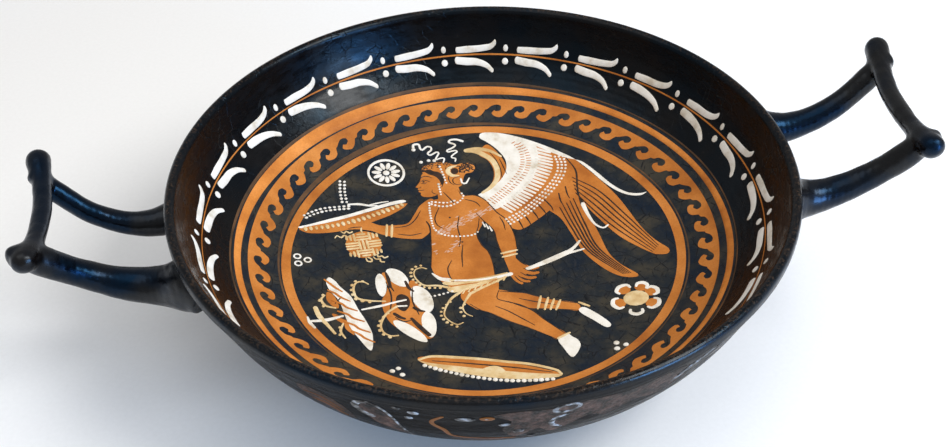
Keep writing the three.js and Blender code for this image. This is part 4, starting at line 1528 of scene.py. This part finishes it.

# White slip on the outer wall. Its patches thin it to black where the slip is worn. Its lightest colour
# is a dark bluish grey rather than cream: painted shade and painted blue sheen.
dull_slip = Finish("dull_slip", IOR=1.45, Specular_IOR_Level=0.1)
worn_and_shaded_patches = dull_slip.grain(3, detail=6)
dull_slip.relief((worn_and_shaded_patches, 0.08))
dull_slip = dull_slip.paint(
    dull_slip.ramp(worn_and_shaded_patches, [(0.4, (0.02, 0.018, 0.017)), (0.52, (0.15, 0.145, 0.14)),
                                  (0.66, (0.38, 0.41, 0.46))]),
    dull_slip.ramp(worn_and_shaded_patches, [(0.3, 0.45), (0.7, 0.65)]),
)
# The clay scrolls and palmettes on the outer wall take a copy of the bare clay darkened to 0.3: painted
# shade.
dull_clay = bare_clay_finish("dull_clay", light=0.3)
worn_outside = Brushwork(on_outside)
worn_outside.area([(-12, -9), (-4, -6), (8, -7), (20, -5), (34, -7), (48, -5.5), (60, -9), (56, -14),
                   (62, -20), (52, -25), (40, -21), (30, -27), (22, -22), (10, -32), (4, -26),
                   (-4, -34), (-9, -24), (-6, -16)],
                   PATCH_LIFT, grid=3.0)
worn_outside.area([(-27, -33), (-14, -35), (0, -37), (2, -42), (-12, -43), (-26, -41)], PATCH_LIFT)
worn_outside.area([(-86, -16), (-78, -12), (-70, -17), (-66, -26), (-67, -36), (-76, -30), (-84, -24)],
                  PATCH_LIFT)
worn_outside.area([(-60, -17), (-58, -11), (-54.6, -9), (-50.4, -15.4), (-47.6, -26), (-45.4, -38),
                   (-52, -34), (-57, -26)], PATCH_LIFT)
worn_outside.piece("rubbed_patches", rubbed, "red_clay")

clay_outside = Brushwork(on_outside)
clay_outside.stroke([(-29.6, -11), (-33.4, -16), (-33.4, -20), (-30, -25), (-27.4, -32), (-18, -35),
                     (-4, -36.4)], (1.4, 2.0, 1.4, 1.0), NEAR_LIFT)
clay_outside.stroke([(-84, -20), (-76, -19), (-69, -26)], (0.8, 1.6, 0.7), TOP_LIFT)
clay_outside.stroke([(-82, -25), (-75, -25), (-69.4, -32)], (0.8, 1.4, 0.7), TOP_LIFT)
clay_outside.dot(-14.4, -11.8, 1.9, NEAR_LIFT, stretch=1.4)
for middle in (math.pi / 2 * OUTER_RADIUS, -math.pi / 2 * OUTER_RADIUS):
    for i in range(PALMETTE_LEAVES):
        lean = math.radians(blend(-78, 78, i / (PALMETTE_LEAVES - 1)))
        reach = 15.5 - 3.2 * abs(lean)
        leaf = [(middle + out * math.sin(lean * turn), PALMETTE_HEIGHT + up * math.cos(lean * turn))
                for out, up, turn in ((1.2, 1.2, 1), (0.6 * reach, 0.62 * reach, 0.8),
                                      (reach, reach, 1))]
        clay_outside.stroke(leaf, (1.0, 2.0, 2.6), SCROLL_LIFT)
    for hand in (-1, 1):
        clay_outside.stroke([(middle + hand * a, b) for a,
                             b in ((3, -48), (14, -48.6), (25, -43), (30, -33), (26, -25), (20, -27),
                                                              (20, -33), (24, -34))], (1.0, 1.6, 1.6,
                                                                  1.2), SCROLL_LIFT)
BACK = math.pi * OUTER_RADIUS
for hand in (-1, 1):
    clay_outside.stroke([(BACK + hand * a, b) for a, b in ((1, -40), (12, -36), (24, -27), (30, -16),
                                                           (24, -9), (16, -13), (17, -20), (22, -20))],
                        (1.2, 1.8, 1.8, 1.2), SCROLL_LIFT)
clay_outside.piece("clay_scrolls", dull_clay, "red_clay")

white_outside = Brushwork(on_outside)
white_outside.stroke([(-56.6, -21.6), (-60, -19), (-61, -14), (-58.4, -9), (-54, -7.4), (-50, -13),
                      (-47, -25), (-44, -41)],
                     (3.2, 3.0, 2.2, 1.4, 1.2, 1.3, 1.3), NEAR_LIFT, height=0.16)
for u, v, radius, stretch in ((-44.6, -7, 1.4, 1.2), (-39.2, -9.6, 1.6, 1.3), (-41.6, -15.6, 1.3, 1.2),
                              (-21.8, -12.6, 1.7, 2.1),
                              (-14.4, -11.6, 1.0, 1.4), (-3.2, -26.4, 1.5, 1.4), (2.4, -35.6, 1.3, 1.4),
                              (-8.4, -19, 1.2, 1.8)):
    white_outside.dot(u, v, radius, TOP_LIFT, stretch=stretch)
loop = [(12.6 + 4.3 * math.cos(a), -8.6 + 3.6 * math.sin(a)) for a in np.linspace(0.4, 6.6, 14)]
white_outside.stroke(loop, (1.6, 2.2, 1.4), TOP_LIFT, height=0.16)
white_outside.stroke([(13.4, -15.4), (9.4, -18), (8.6, -23), (12.6, -28)], (1.6, 2.4, 1.0), TOP_LIFT,
                     height=0.16)
white_outside.stroke([(57, -18.4), (62, -13), (68, -8.6), (74, -5.4)], (3.4, 3.8, 2.8, 1.0), TOP_LIFT,
                     height=0.16)
for hand in (-1, 1):
    for u, v in ((9, -12), (12.4, -15.6), (7.4, -17)):
        white_outside.dot(BACK + hand * (u + 26), v, 1.2, TOP_LIFT)
white_outside.piece("white_scrolls", dull_slip, "white_slip")

# ---------------------------------------------------------------- setting
# A pale studio table in a pale room, a soft key light that glances off the far wall of the bowl,
# a broad light overhead, and a cool low light from the right that draws out the gloss's blue.
FLOOR_SIZE = 6.0
ROOM_LIGHT = 0.45
half = FLOOR_SIZE / 2
floor_corners = [(-half, -half, 0), (half, -half, 0), (half, half, 0), (-half, half, 0)]
floor = new_piece("floor", floor_corners, [(0, 1, 2, 3)], smooth=False)
paper = Finish("paper", IOR=1.4, Specular_IOR_Level=0.2)
paper_grain = paper.grain(2.0, detail=3)
paper.relief((paper_grain, 0.01))
floor.data.materials.append(paper.paint(
    paper.ramp(paper_grain, [(0.3, (0.90, 0.90, 0.90)), (0.7, (0.93, 0.93, 0.93))]),
    paper.ramp(paper_grain, [(0.3, 0.8), (0.7, 0.9)]),
))

world = bpy.data.worlds.new("studio")
world.use_nodes = True
world.node_tree.nodes["Background"].inputs["Color"].default_value = (1.0, 1.0, 1.0, 1)
world.node_tree.nodes["Background"].inputs["Strength"].default_value = ROOM_LIGHT
bpy.context.scene.world = world


def soft_light(name, towards, distance, size, power, colour):
    light = bpy.data.lights.new(name, "AREA")
    light.size = size
    light.energy = power
    light.color = colour
    lamp = bpy.data.objects.new(name, light)
    bpy.context.scene.collection.objects.link(lamp)
    towards = Vector(towards).normalized()
    turn = towards.to_track_quat("Z", "Y").to_matrix().to_4x4()
    lamp.matrix_world = Matrix.Translation(rim_centre + towards * distance) @ turn


soft_light("key", (0.62, -0.28, 0.73), 1.3, 0.6, 13.0, (1.0, 0.98, 0.95))
soft_light("overhead", (-0.25, -0.1, 1.0), 1.7, 1.6, 9.0, (1.0, 1.0, 1.0))
soft_light("cool_side", (0.6, -0.57, 0.14), 1.2, 0.45, 11.0, (0.3, 0.58, 1.0))
bpy.context.scene.view_settings.view_transform = "Standard"
